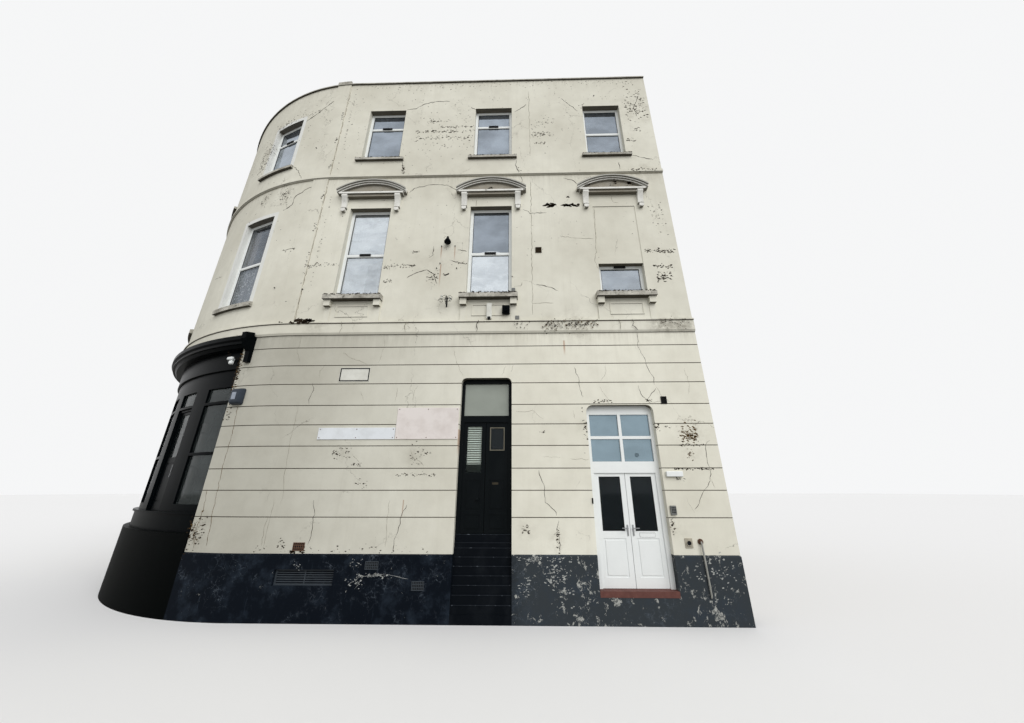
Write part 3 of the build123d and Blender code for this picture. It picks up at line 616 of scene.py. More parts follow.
def plinthMaterial():
    material, tree, shader, coords = startMaterial("plinthPaint", 0.6, 0.08)
    start = plan["cornerX"] + plinthPaint["greyFromAlong"]
    right = rampUp(tree, splitAxes(tree, coords)["X"], start - 0.3, start + 0.3)
    cloudy = noise(tree, coords, 2.4, 6.0, 0.7)
    tone = blend(tree, right, plinthPaint["blue"], plinthPaint["grey"])
    tone = cover(tree, rampUp(tree, cloudy, 0.5, 0.78), 0.6, tone, plinthPaint["scuff"])
    scratches = noise(tree, stretch(tree, coords, (16, 16, 2.2)), 1.1, 5.0, 0.7, 1.4)
    tone = cover(tree, rampUp(tree, scratches, 0.6, 0.7), 0.35, tone, plinthPaint["scuff"])
    groups = noise(tree, stretch(tree, coords, (1, 1, 1.1)), 1.5, 3.0, 0.6, 0.8)
    chips = noise(tree, stretch(tree, coords, (1, 1, 0.8)), 8.0, 8.0, 0.78, 0.4)
    level = sums(tree, "ADD", chips, times(tree, rampUp(tree, groups, 0.42, 0.66), 0.1))
    level = sums(tree, "ADD", level, times(tree, right, 0.09))
    flakes = rampUp(tree, level, 0.71, 0.725)
    # a web of fine pale cracks
    cells = cellEdges(tree, bend(tree, coords, 4.0, 6.0, 0.65, 0.5), 6.5)
    veins = times(tree, rampUp(tree, cells, 0.03, 0.008),
                  rampUp(tree, noise(tree, coords, 2.3, 4.0, 0.65, 0.5), 0.5, 0.66))
    tone = cover(tree, veins, 0.38, tone, plinthPaint["vein"])
    tone = cover(tree, flakes, 0.92, tone, plinthPaint["flake"])
    applyPaint(tree, shader, tone, sums(tree, "SUBTRACT", cloudy, flakes), 0.5)
    return material


# Painted stone of the sills and copings: grey, lichen-spotted, rain-washed, with painted shade on the
# undersides
stonePaint = {
    "pale": colour(200, 197, 187),
    "grey": colour(152, 149, 139),
    "spot": colour(38, 35, 30),
    # soot for the speckle, and painted shade for the undersides
    "sootAndShade": colour(50, 45, 35),
}


def stoneMaterial():
    material, tree, shader, coords = startMaterial("weatheredStone", 0.8, 0.2)
    cloudy = noise(tree, stretch(tree, coords, (1, 1, 1.6)), 2.6, 5.0, 0.65)
    tone = blend(tree, rampUp(tree, cloudy, 0.38, 0.62), stonePaint["grey"], stonePaint["pale"])
    speckle = noise(tree, coords, 24.0, 6.0, 0.8)
    tone = cover(tree, rampUp(tree, speckle, 0.5, 0.66), 0.6, tone, stonePaint["sootAndShade"])
    lichen = noise(tree, coords, 9.0, 7.0, 0.78)
    tone = cover(tree, rampUp(tree, lichen, 0.6, 0.65), 0.85, tone, stonePaint["spot"])
    # painted shade on the undersides
    tone = cover(tree, lookingDown(tree), 0.92, tone, stonePaint["sootAndShade"])
    applyPaint(tree, shader, tone, lichen)
    return material


# Hoods: grey outer ring, two white rings, stained centre, white shelf and consoles, with painted shade on
# the undersides
hoodPaint = {
    "white": colour(229, 228, 222),
    "grey": colour(176, 175, 168),
    "stained": colour(152, 146, 133),
    "dark": colour(84, 80, 70),
    "spot": colour(24, 22, 20),
    "shelf": (10.115, 10.175),
    "steps": (0.062, 0.1635),   # how far the centre and the white rings stand out
    "consoleReach": (0.655, 0.845),
    "dropTop": 9.7,
}


def hoodMaterial():
    material, tree, shader, coords = startMaterial("hoodPaint", 0.75, 0.2)
    axes = splitAxes(tree, coords)
    height = axes["Z"]
    out = sums(tree, "SUBTRACT", plan["frontY"], axes["Y"])
    worn = noise(tree, coords, 5.0, 7.0, 0.74)
    fromMiddle = fold(tree, "MINIMUM", [awayFrom(tree, axes["X"], plan["cornerX"] + along)
                                        for along in windows["frontBays"]])
    shelf, above = [rampUp(tree, height, level - 0.001, level + 0.001)
                    for level in hoodPaint["shelf"]]
    inner, outer = hoodPaint["consoleReach"]
    bracket = times(tree, rampUp(tree, fromMiddle, inner - 0.001, inner),
                    rampUp(tree, fromMiddle, outer, outer - 0.001))
    # the arch, by how far each step stands out
    centre, rings = [rampUp(tree, out, step, step + 0.002) for step in hoodPaint["steps"]]
    arch = blend(tree, centre, hoodPaint["stained"], hoodPaint["white"])
    arch = blend(tree, rings, arch, hoodPaint["grey"])
    # bed mould in the dark under the shelf, consoles white above the drop's dark neck
    neck = rampUp(tree, awayFrom(tree, height, hoodPaint["dropTop"] - 0.015), 0.03, 0.012)
    console = blend(tree, neck, hoodPaint["white"], hoodPaint["dark"])
    low = blend(tree, bracket, hoodPaint["stained"], console)
    low = blend(tree, shelf, low, hoodPaint["white"])
    tone = blend(tree, above, low, arch)
    tone = cover(tree, rampUp(tree, worn, 0.46, 0.66), 0.45, tone, hoodPaint["grey"])
    tone = blend(tree, rampUp(tree, worn, 0.65, 0.68), tone, hoodPaint["spot"])
    # painted shade on the undersides
    tone = cover(tree, lookingDown(tree, -0.5, -0.9), 0.85, tone, hoodPaint["dark"])
    applyPaint(tree, shader, tone, worn, 0.4, 0.005)
    return material


# Glass: a metallic mirror of the sky, with painted reflection of clouds in its colour, and lets a little of
# the rooms through
def glassMaterial(name, tint, solid, metallic, paintedCloudSpread=0.22):
    material, tree, shader, coords = startMaterial(name, 0.05, 0.5)
    shader.inputs["Metallic"].default_value = metallic
    shader.inputs["Alpha"].default_value = solid
    # painted reflection: the tint lighter and darker in a cloud pattern
    paintedClouds = noise(tree, stretch(tree, coords, (1, 1, 1.5)), 0.9, 4.0, 0.55)
    lighter = [min(1.0, v) for v in shaded(tint, 1 + paintedCloudSpread)]
    tone = blend(tree, rampUp(tree, paintedClouds, 0.35, 0.65), shaded(tint, 1 - paintedCloudSpread), lighter)
    applyPaint(tree, shader, tone)
    return material, tree, shader, coords, tone


# The windows: most panes mirror grey cloud through a painted blue-grey sky tint; a few have a painted
# reflection of bright sky or show a curtain
firstCurveBay = -math.radians(windows["cornerBays"][0]) * plan["radius"]
windowGlass = {
    "tint": colour(168, 178, 189),
    "paintedSky": colour(240, 247, 252),
    "solid": 0.8,
    "overCurtain": 0.25,
    # pane centres with a painted reflection of bright sky and how bright, and panes with something hung
    # behind them
    "paintedSkyPanes": [(4.57, 7.5, 0.84, 1.0), (7.955, 7.3, 0.84, 0.3),
                    (1.185, 7.5, 0.84, 0.92), (1.185, 9.0, 0.9, 1.0)],
    "curtainPanes": [(1.185, 7.6, 0.85, 0.5), (1.185, 8.95, 0.9, 0.22),
                     (firstCurveBay, 7.5, 0.8, 1.0), (firstCurveBay, 9.0, 0.85, 1.0)],
}


def windowGlassMaterial():
    material, tree, shader, coords, tone = glassMaterial(
        "windowGlass", windowGlass["tint"], windowGlass["solid"], 0.85)
    # painted reflection of bright sky, broken by painted clouds
    paintedSky = nearPlaces(tree, coords, windowGlass["paintedSkyPanes"], 1.02, 1.0)
    paintedSkyCloud = noise(tree, stretch(tree, coords, (1, 1, 1.6)), 2.4, 5.0, 0.55, 0.6)
    paintedSkyCloud = sums(tree, "ADD", times(tree, rampUp(tree, paintedSkyCloud, 0.38, 0.6), 0.28), 0.72)
    applyPaint(tree, shader, cover(tree, paintedSky, paintedSkyCloud, tone, windowGlass["paintedSky"]))
    hung = nearPlaces(tree, coords, windowGlass["curtainPanes"], 1.0, 1.0, 0.01)
    clear = addNode(tree, "ShaderNodeMapRange",
                    {"Value": hung, "To Min": windowGlass["solid"],
                     "To Max": windowGlass["overCurtain"]}).outputs[0]
    tree.links.new(clear, shader.inputs["Alpha"])
    return material


# Black gloss paint, chipped to grey at its edges
def blackMaterial(name, tone, chip, roughness, specular, chipLevel):
    material, tree, shader, coords = startMaterial(name, roughness, specular)
    dusty = noise(tree, stretch(tree, coords, (1, 1, 0.6)), 2.2, 5.0, 0.65)
    mixed = cover(tree, rampUp(tree, dusty, 0.5, 0.85), 0.1, tone, chip)
    chips = noise(tree, coords, 16.0, 5.0, 0.75)
    mixed = blend(tree, rampUp(tree, chips, chipLevel, chipLevel + 0.02), mixed, chip)
    applyPaint(tree, shader, mixed, noise(tree, coords, 6.0, 3.0), 0.15, 0.003)
    return material


# Boards and felt are laid in strips, with a dark line between them
def stripMaterial(name, tone, gap, width, axis, roughness):
    material, tree, shader, coords = startMaterial(name, roughness, 0.25)
    part = sums(tree, "DIVIDE", splitAxes(tree, coords)[axis], width)
    edge = awayFrom(tree, sums(tree, "FRACT", part), 0.5)
    lines = rampUp(tree, edge, 0.5 - 0.006 / width, 0.5 - 0.003 / width)
    each = addNode(tree, "ShaderNodeTexWhiteNoise", {"W": sums(tree, "FLOOR", part)},
                   noise_dimensions="1D").outputs["Value"]
    grain = noise(tree, stretch(tree, coords, (1, 6, 1) if axis == "Y" else (6, 1, 1)), 3.0, 5.0, 0.65)
    mixed = cover(tree, sums(tree, "ADD", each, grain), 0.45, tone, shaded(tone, 0.55))
    mixed = cover(tree, lines, 0.85, mixed, gap)
    applyPaint(tree, shader, mixed, sums(tree, "SUBTRACT", grain, lines), 0.3, 0.003)
    return material


# Woven cloth: threads both ways from its own UV map, with a soft sheen
def clothMaterial(name, tone, threads, see, lace=False):
    material, tree, shader = startMaterial(name, 0.9, 0.15)[:3]
    shader.inputs["Alpha"].default_value = see
    shader.inputs["Sheen Weight"].default_value = 0.3
    cloth = addNode(tree, "ShaderNodeUVMap", {}).outputs["UV"]
    weave, weft = [addNode(tree, "ShaderNodeTexWave", {"Vector": cloth, "Scale": threads},
                           bands_direction=way).outputs["Fac"] for way in ("X", "Y")]
    both = times(tree, sums(tree, "ADD", weave, weft), 0.5)
    mottled = noise(tree, stretch(tree, cloth, (7, 2, 1)), 2.0, 4.0)
    mixed = cover(tree, mottled, 0.35, list(tone), shaded(tone, 0.72))
    mixed = cover(tree, both, 0.12, mixed, shaded(tone, 0.5))
    if lace:
        leaves = addNode(tree, "ShaderNodeTexVoronoi",
                         {"Vector": stretch(tree, cloth, (1, 1.3, 1)), "Scale": 16.0}).outputs["Distance"]
        mixed = blend(tree, rampUp(tree, leaves, 0.3, 0.4), mixed, shaded(tone, 0.3))
    applyPaint(tree, shader, mixed, both, 0.2, 0.001)
    return material


# Enamel or painted boards with dirt along the edges and a few rust spots
def boardMaterial(name, tone, dirt):
    material, tree, shader, coords = startMaterial(name, 0.45, 0.3)
    cloudy = noise(tree, coords, 3.0, 5.0, 0.65)
    mixed = cover(tree, rampUp(tree, cloudy, 0.45, 0.8), 0.5, tone, dirt)
    spots = noise(tree, coords, 22.0, 5.0, 0.72)
    mixed = blend(tree, rampUp(tree, spots, 0.72, 0.74), mixed, creamPaint["rust"])
    applyPaint(tree, shader, mixed, cloudy, 0.1, 0.002)
    return material


upperCream = creamMaterial("creamPaint", False)[0]
lowerCream = creamMaterial("creamPaintJointed", True)[0]
overShop = overShopMaterial()
plinthFinish = plinthMaterial()
sillStone = stoneMaterial()
hoodFinish = hoodMaterial()
skyGlass = windowGlassMaterial()
fanGlass = glassMaterial("fanlightGlass", colour(152, 173, 184), 0.85, 0.8, 0.14)[0]
shopGlass = glassMaterial("shopGlass", colour(64, 70, 70), 0.6, 0.5)[0]
blindGlass = glassMaterial("blindGlass", colour(70, 82, 78), 0.12, 0.2)[0]
doorGlass = glassMaterial("doorGlass", colour(26, 34, 38), 0.5, 0.35)[0]
milkGlass = glassMaterial("milkGlass", colour(150, 156, 147), 0.94, 0.0, 0.07)[0]
blackGloss = blackMaterial("blackGloss", colour(5, 8, 10), colour(48, 52, 54), 0.3, 0.03, 0.79)
blackDoorPaint = blackMaterial("blackDoorPaint", colour(12, 16, 18), colour(54, 58, 60), 0.35, 0.06,
                               0.77)
blackBase = blackMaterial("blackShopBase", colour(4, 6, 6), colour(30, 34, 34), 0.45, 0.02, 0.8)
blackStep = blackMaterial("blackMasonry", colour(9, 13, 18), colour(84, 90, 96), 0.6, 0.07, 0.75)
whitePlastic = plainMaterial("whiteUpvc", colour(236, 239, 238), 0.35, 0.35, 0.02, 3.0)
# dark rubber for gaskets and keys, also used as painted shade behind vents and round plates
rubberAndShade = plainMaterial("darkRubberAndShade", colour(30, 32, 34), 0.7, 0.2)
ventPlastic = plainMaterial("ventPlastic", colour(24, 25, 26), 0.5, 0.3)
redPaint = plainMaterial("redSillPaint", colour(108, 72, 66), 0.7, 0.2, 0.15)
partyRender = plainMaterial("partyRender", colour(196, 190, 176), 0.85, 0.2, 0.07, 0.8)
roofFelt = stripMaterial("roofFelt", colour(88, 90, 92), colour(34, 35, 36), 1.0, "X", 0.9)
floorBoards = stripMaterial("floorBoards", colour(138, 110, 84), colour(40, 30, 22), 0.14, "Y", 0.6)
steel = plainMaterial("satinSteel", colour(186, 188, 190), 0.3, 0.5, 0.05, 6.0, 0.9)
darkIron = plainMaterial("darkIron", colour(24, 25, 26), 0.65, 0.2, 0.2, 12.0)
rustyIron = boardMaterial("rustyIron", colour(96, 70, 54), colour(40, 31, 27))
crackShadow = plainMaterial("crackShadow", colour(50, 42, 34), 0.95, 0.0, 0.2, 8.0)
faintCrack = plainMaterial("faintCrack", colour(134, 127, 110), 0.95, 0.0, 0.15, 5.0)
scarMaterial = plainMaterial("bareScar", colour(58, 48, 37), 0.95, 0.05, 0.3, 22.0)
rustScar = plainMaterial("rustScar", colour(106, 84, 52), 0.95, 0.05, 0.3, 22.0)
plinthIron = boardMaterial("plinthIron", colour(58, 64, 70), colour(22, 26, 32))
paleScar = plainMaterial("paleScar", colour(176, 178, 175), 0.9, 0.05, 0.15, 12.0)
longBoardPaint = boardMaterial("whiteBoard", colour(222, 226, 230), colour(178, 180, 178))
wideBoardPaint = boardMaterial("pinkishBoard", colour(224, 217, 213), colour(180, 168, 160))
enamel = boardMaterial("enamelPlate", colour(218, 218, 210), colour(168, 166, 156))
alarmPlastic = plainMaterial("alarmPlastic", colour(50, 58, 68), 0.5, 0.3, 0.12, 8.0)
bluntGrey = plainMaterial("greyPlastic", colour(120, 122, 120), 0.55, 0.3, 0.1, 10.0)
netCloth = clothMaterial("netCurtain", colour(240, 244, 245), 160.0, 1.0)
laceCloth = clothMaterial("laceNet", colour(214, 218, 220), 60.0, 0.8, True)
brownCloth = clothMaterial("brownCurtain", colour(108, 98, 86), 90.0, 1.0)
slatPaint = plainMaterial("blindSlats", colour(222, 234, 222), 0.5, 0.3, 0.05, 6.0)
print("materials made:", len(bpy.data.materials))

# Better finishes on the frame's own nodes
finishes = [
    (upperCream, ["front_wall_upper", "side_wall_upper", "corner_wall_upper_1",
                  "corner_wall_upper_2", "corner_wall_upper_3", "floor_band", "string_course",
                  "pilasters", "window_aprons"]),
    (lowerCream, ["front_wall_left", "front_wall_middle", "front_wall_right",
                  "wall_over_black_door", "wall_over_white_door", "side_wall_ground"]),
    (overShop, ["wall_over_shopfront"]),
    (partyRender, ["party_wall_right", "party_wall_back"]),
    (plinthFinish, ["plinth", "white_door_base"]),
    (sillStone, ["window_sills", "coping"]),
    (hoodFinish, ["window_hoods"]),
    (floorBoards, ["ground_floors", "first_floor", "second_floor"]),
    (roofFelt, ["roof"]),
    (whitePlastic, ["window_frames", "white_door_frame", "white_door_left_leaf",
                    "white_door_right_leaf"]),
    (skyGlass, ["window_glass"]),
    (fanGlass, ["white_door_fanlight"]),
    (milkGlass, ["black_door_fanlight"]),
    (blindGlass, ["black_door_left_glass"]),
    (doorGlass, ["black_door_right_glass", "white_door_left_glass",
                 "white_door_right_glass"]),
    (shopGlass, ["shop_glass", "shop_door_glass"]),
    (blackDoorPaint, ["black_door_frame", "black_door_left_leaf", "black_door_right_leaf"]),
    (blackGloss, ["shop_stallriser", "shop_posts", "shop_rails", "shop_head", "shop_fascia",
                  "shop_cornice", "shop_consoles", "shop_door_frame", "shop_door_leaf"]),
    (blackBase, ["shop_base"]),
    (blackStep, ["black_door_steps"]),
    (redPaint, ["white_door_sill"]),
    (steel, ["white_door_left_handle", "white_door_right_handle", "shop_door_pull"]),
    (plinthIron, ["cellar_grille"]),
]
for material, names in finishes:
    for name in names:
        for slot in nodes[name].material_slots:
            slot.material = material
print("frame nodes painted")


# Panes: a white bead against the frame and a dark gasket against the glass, which also stands in for the
# shade line round each pane
paneTrim = {
    "beadWidth": 0.017,
    "beadDepth": (0.157, 0.1775),
    "gasketWidth": 0.011,
    "gasketDepth": (0.167, 0.1775),
}


def addPaneTrim():
    half = windows["halfGlass"]
    inner = half - paneTrim["beadWidth"]
    models = {}
    beads, gaskets = [], []
    for place, levels in windowPlaces():
        for low, high in paneHeights(levels):
            if (low, high) not in models:
                bead = startRing((-half, half), (low, high), paneTrim["beadWidth"],
                                 paneTrim["beadDepth"], 0.003)
                gasket = startRing((-inner, inner), (low + half - inner, high - half + inner),
                                   paneTrim["gasketWidth"], paneTrim["gasketDepth"], 0.002)
                models[(low, high)] = (bead, gasket)
            bead, gasket = models[(low, high)]
            beads.append(copyTo(bead, place))
            gaskets.append(copyTo(gasket, place))
    for bead, gasket in models.values():
        discard(bead)
        discard(gasket)
    finishPiece(joinAll(beads), "window_beads", whitePlastic)
    finishPiece(joinAll(gaskets), "window_gaskets_and_shade", rubberAndShade)


addPaneTrim()

# Trickle vents at the middle of a rail, or of the frame's head
ventBlock = {
    "width": 0.3,
    "height": 0.062,
    "out": 0.026,
    "lip": 0.008,
    "recess": 0.006,
    "slats": [-0.012, 0.0, 0.012],
    "places": [(frontPlace(1.185), 8.235), (frontPlace(4.57), 8.235), (frontPlace(7.955), 7.732),
               (frontPlace(1.185), 13.08), (frontPlace(4.57), 13.08),
               (cornerPlace(19.5), 13.08), (cornerPlace(48.3), 13.08)],
}


def addVentBlocks():
    back, face = windows["frameDepth"], windows["frameDepth"] - ventBlock["out"]
    wide = ventBlock["width"]
    model = startBox(around(0, wide), (face, back + 0.001), around(0, ventBlock["height"]))
    recessFront(model, ventBlock["lip"], ventBlock["recess"])
    slats = [startBox(around(0, wide - 0.02), (face + 0.001, back - 0.01), around(z, 0.006))
             for z in ventBlock["slats"]]
    model = soften(joinAll([model] + slats), 0.0015, 1)
    vents = [copyTo(model, place @ Matrix.Translation((0, 0, z))) for place, z in ventBlock["places"]]
    discard(model)
    finishPiece(joinAll(vents), "window_vents", ventPlastic)


addVentBlocks()

print("window trim added")

# Cloth behind the panes: a white net, a lace half net and a brown curtain
curtains = {
    "depth": 0.232,
    "rodRadius": 0.009,
    "hem": 0.02,
    "underHead": 0.05,
    # width, folds, swing and seed of each cloth
    "net": (1.1, 14, 0.014, 3),
    "lace": (1.12, 10, 0.01, 5),
    "brown": (0.34, 5, 0.02, 8),
    "brownAside": 0.39,
    "brownBehind": 0.035,
    # the net drawn aside: from which height, over what height, towards where and how much
    "drawn": (8.2, 0.25, -0.55, 0.42),
}


def startCloth(cloth, low, high, depth, shape=None):
    # a hung cloth with upright folds that loosen towards the foot
    width, folds, amplitude, seed = cloth
    chance = random.Random(seed)
    deselectAll()
    bpy.ops.mesh.primitive_grid_add(x_subdivisions=folds * 10, y_subdivisions=26, size=1,
                                    location=(0, 0, 0), rotation=(math.radians(90), 0, 0))
    piece = bpy.context.object
    applyPlace(piece)
    shifts = [chance.uniform(-0.5, 0.5) for _ in range(4)]
    for vertex in piece.data.vertices:
        across, up = vertex.co.x + 0.5, vertex.co.z + 0.5
        wave = across * folds * math.tau + shifts[0] * math.sin(3 * across + shifts[1])
        wave += 0.35 * math.sin(up * 4 + shifts[2] * 6)
        swing = amplitude * (0.6 + 0.5 * (1 - up)) * math.sin(wave)
        swing += 0.3 * amplitude * math.sin(2.3 * wave + shifts[3])
        x = (across - 0.5) * width
        z = low + up * (high - low)
        if shape:
            x = shape(x, z)
        vertex.co = (x, depth + swing, z)
    return piece


def finishCloth(piece, place, name, material):
    settle(piece, place)
    finishPiece(piece, name, material, smooth=60)


def addRod(place, name, z):
    half = windows["halfGlass"] + windows["frameWidth"]
    rod = startPipe([(-half, curtains["depth"], z), (-half / 2, curtains["depth"], z - 0.002),
                     (half / 2, curtains["depth"], z - 0.002), (half, curtains["depth"], z)],
                    curtains["rodRadius"])
    fixOn(rod, name, whitePlastic, place, 40)


def drawnAside(x, z):
    # below the rail the net is drawn to the left
    start, run, left, share = curtains["drawn"]
    free = min(1.0, max(0.0, (start - z) / run))
    return left + (x - left) * (1 - share * free)


def addCurtains():
    deep = curtains["depth"]
    left, curve = frontPlace(windows["frontBays"][0]), cornerPlace(windows["cornerBays"][0])
    low, rail, high = windows["first"]
    foot, high, rail = low + curtains["hem"], high - curtains["underHead"], rail + 0.01
    addRod(left, "net_rod_left", high)
    addRod(curve, "net_rod_curve", high)
    addRod(curve, "lace_rod_curve", rail)
    net = startCloth(curtains["net"], foot, high, deep, drawnAside)
    finishCloth(net, left, "net_curtain", netCloth)
    lace = startCloth(curtains["lace"], foot, rail, deep)
    finishCloth(lace, curve, "lace_net", laceCloth)
    brown = startCloth(curtains["brown"], foot + 0.01, high, deep + curtains["brownBehind"],
                       lambda x, z: x - curtains["brownAside"])
    finishCloth(brown, curve, "brown_curtain", brownCloth)


addCurtains()
print("curtains hung")

# Black door: slat blind in the left leaf, worn frame and letter plate on the right leaf
blackDoor = {
    "slatPitch": 0.048,
    "slatThick": 0.0016,
    "slatDeep": 0.04,
    "slatTilt": 52,
    "blindFoot": 0.2,       # how far the blind hangs above the foot of the glass
    "cords": [0.16, 0.5, 0.84],
    "plate": (0.13, 0.045, 0.006),
    "plateHeight": 2.42,
    "frameWidth": 0.02,
}


def addBlind():
    low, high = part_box("black_door_left_glass")
    inner = (low.x + 0.006, high.x - 0.006)
    middle = high.y + 0.0155
    slat = startBox(inner, around(0, blackDoor["slatDeep"]), around(0, blackDoor["slatThick"]))
    pick(slat)
    editAll()
    bpy.ops.mesh.subdivide(number_cuts=2)
    bpy.ops.object.mode_set(mode="OBJECT")
    for vertex in slat.data.vertices:
        # each slat is crowned across its width
        vertex.co.z += 0.002 * (1 - (2 * vertex.co.y / blackDoor["slatDeep"]) ** 2)
    slat.data.transform(Matrix.Rotation(math.radians(blackDoor["slatTilt"]), 4, "X"))
    parts = []
    z = high.z - 0.03
    foot = low.z + blackDoor["blindFoot"]
    while z > foot:
        parts.append(copyTo(slat, Matrix.Translation((0, middle, z))))
        z -= blackDoor["slatPitch"]
    discard(slat)
    parts.append(soften(startBox(inner, (middle - 0.009, middle + 0.009),
                                 (high.z - 0.022, high.z + 0.002)), 0.002))
    parts.append(soften(startBox(inner, (middle - 0.007, middle + 0.007), (z - 0.004, z + 0.01)),
                        0.002))
    for share in blackDoor["cords"]:
        x = inner[0] + share * (inner[1] - inner[0])
        parts.append(startPipe([(x, middle - 0.009, z + 0.004), (x, middle - 0.009, high.z - 0.01)],
                               0.0012, 1))
    finishPiece(joinAll(parts), "door_blind", slatPaint, "black_left_leaf")


def addBlackDoorTrim():
    low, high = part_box("black_door_right_glass")
    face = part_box("black_door_left_glass")[0].y - 0.014
    width = blackDoor["frameWidth"]
    ring = startRing((low.x, high.x), (low.z, high.z), width, (face - 0.004, low.y + 0.001), 0.003)
    finishPiece(ring, "worn_window_bead", rustyPale, "black_right_leaf")
    wide, tall, thick = blackDoor["plate"]
    x = (low.x + high.x) / 2 - 0.03
    z = blackDoor["plateHeight"]
    plate = startBox(around(x, wide), (face - thick, face + 0.001), around(z, tall))
    plate = soften(recessFront(plate, 0.011, 0.003), 0.0015)
    flap = startPipe([(x - wide / 2 + 0.014, face - thick, z + 0.016),
                      (x + wide / 2 - 0.014, face - thick, z + 0.016)], 0.0025)
    finishPiece(joinAll([plate, flap]), "black_letter_plate", darkBrass,
                "black_right_leaf")


rustyPale = boardMaterial("wornWindowBead", colour(112, 108, 94), colour(40, 38, 34))
darkBrass = plainMaterial("darkBrass", colour(70, 64, 52), 0.4, 0.4, 0.15, 20.0, 0.6)
addBlind()
addBlackDoorTrim()

# Worn nosings on the black steps, lighter with worn paint and a painted highlight along each edge: tops of
# the steps, and how each sets forward
steps = {
    "tops": 10,
    "firstRises": (0.145, 0.09),
    "rise": 0.15375,
    "start": 0.14,
    "tread": 0.018333,
    "thick": 0.014,
    "out": 0.006,
}


def addNosings():
    low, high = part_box("black_door_steps")
    z, depth = high.z, steps["start"]
    rises = list(steps["firstRises"]) + [steps["rise"]] * (steps["tops"] - 2)
    parts = []
    for rise in rises[:-1]:
        y = plan["frontY"] + depth
        bar = startBox((low.x + 0.004, high.x - 0.004), (y - steps["out"], y + 0.004),
                       (z - steps["thick"], z + 0.001))
        parts.append(soften(bar, 0.004, 2))
        z -= rise
        depth -= steps["tread"]
    finishPiece(joinAll(parts), "step_nosings", nosingWearAndHighlight, smooth=30)


# worn paint and painted highlight: chipped lighter than the steps
nosingWearAndHighlight = blackMaterial("wornNosingAndHighlight", colour(22, 27, 33), colour(92, 98, 106), 0.5, 0.16, 0.6)
addNosings()

# White door: letter plate outline on the right leaf, a catch on the left jamb
whiteDoor = {
    "plate": (0.3, 0.07, 0.008),
    "plateHeight": 1.457,
    "catch": (6.76, 6.785, 2.035, 2.14),
}


def addWhiteDoorTrim():
    low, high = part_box("white_door_right_glass")
    face = low.y - 0.014
    wide, tall, thick = whiteDoor["plate"]
    x, z = (low.x + high.x) / 2, whiteDoor["plateHeight"]
    plate = startBox(around(x, wide), (face - thick, face + 0.001), around(z, tall))
    plate = soften(recessFront(plate, 0.008, 0.003), 0.002)
    finishPiece(plate, "white_letter_plate", whitePlastic, "white_right_leaf")
    # painted shade: a dark ring round the letter plate
    shadow = startRing(around(x, wide + 0.008), around(z, tall + 0.008), 0.005,
                       (face - 0.002, face + 0.001), 0.0005)
    finishPiece(shadow, "letter_plate_shadow_ring", rubberAndShade, "white_right_leaf")
    left, right, foot, top = whiteDoor["catch"]
    catch = startBox((left, right), (-0.02, 0.004), (foot, top))
    catch = soften(recessFront(catch, 0.006, -0.008), 0.004)
    fixOn(catch, "jamb_catch", darkIron)
    for leaf in ("left", "right"):
        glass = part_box("white_door_" + leaf + "_glass")
        ring = startRing((glass[0].x, glass[1].x), (glass[0].z, glass[1].z), 0.012,
                         (glass[0].y - 0.005, glass[0].y + 0.001), 0.002)
        finishPiece(ring, "white_" + leaf + "_gasket", rubberAndShade,
                    "white_" + leaf + "_leaf")


addWhiteDoorTrim()

# Round draught vent in the lower right pane of the white door's fanlight
roundVent = {
    "along": 7.82,
    "height": 2.99,
    "radius": 0.045,
}


def addRoundVent():
    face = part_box("white_door_fanlight")[0].y
    x = plan["cornerX"] + roundVent["along"]
    rim = startDrum(roundVent["radius"], (face - 0.008, face + 0.001), roundVent["height"], x, 28)
    rim = soften(recessFront(rim, 0.014, 0.004), 0.001, 1)
    finishPiece(rim, "fanlight_vent", ventBlue, smooth=40)


ventBlue = plainMaterial("fanlightVent", colour(98, 116, 126), 0.3, 0.4, 0.1, 12.0)
addRoundVent()
print("doors fitted out")

# Boards and plates on the ground-floor wall, all bare: along, foot, right end, top
boards = {
    "longBoard": (0.93, 3.315, 2.615, 3.565),
    "wideBoard": (2.625, 3.315, 3.985, 4.0),
    "streetPlate": (1.165, 4.622, 1.87, 4.958),
    "thick": 0.018,
    "plateThick": 0.012,
    "border": 0.028,
    "screwRadius": 0.011,
    "screwInset": (0.04, 0.035),
}


def addBoard(name, size, material):
    left, foot, right, top = size
    board = startBox((left, right), (-boards["thick"], 0.002), (foot, top))
    board = soften(board, 0.003)
    fixOn(board, name, material)
    screws = []
    side, end = boards["screwInset"]
    for x in (left + side, (left + right) / 2, right - side):
        for z in (foot + end, top - end):
            head = startDrum(boards["screwRadius"], (-boards["thick"] - 0.004, -boards["thick"]),
                             z, x, 12)
            screws.append(soften(head, 0.002, 1))
    fixOn(joinAll(screws), name + "_screws", rustyIron)


def addStreetPlate():
    left, foot, right, top = boards["streetPlate"]
    plate = startBox((left, right), (-boards["plateThick"], 0.002), (foot, top))
    plate = soften(recessFront(plate, boards["border"], 0.004), 0.002)
    fixOn(plate, "street_plate", enamel)
    inset = boards["border"] * 0.35
    rim = startRing((left + inset, right - inset), (foot + inset, top - inset),
                    boards["border"] * 0.8, (-boards["plateThick"] - 0.002, -0.004), 0.001)
    fixOn(rim, "street_plate_rim", blackGloss)


addBoard("long_board", boards["longBoard"], longBoardPaint)
addBoard("wide_board", boards["wideBoard"], wideBoardPaint)
addStreetPlate()

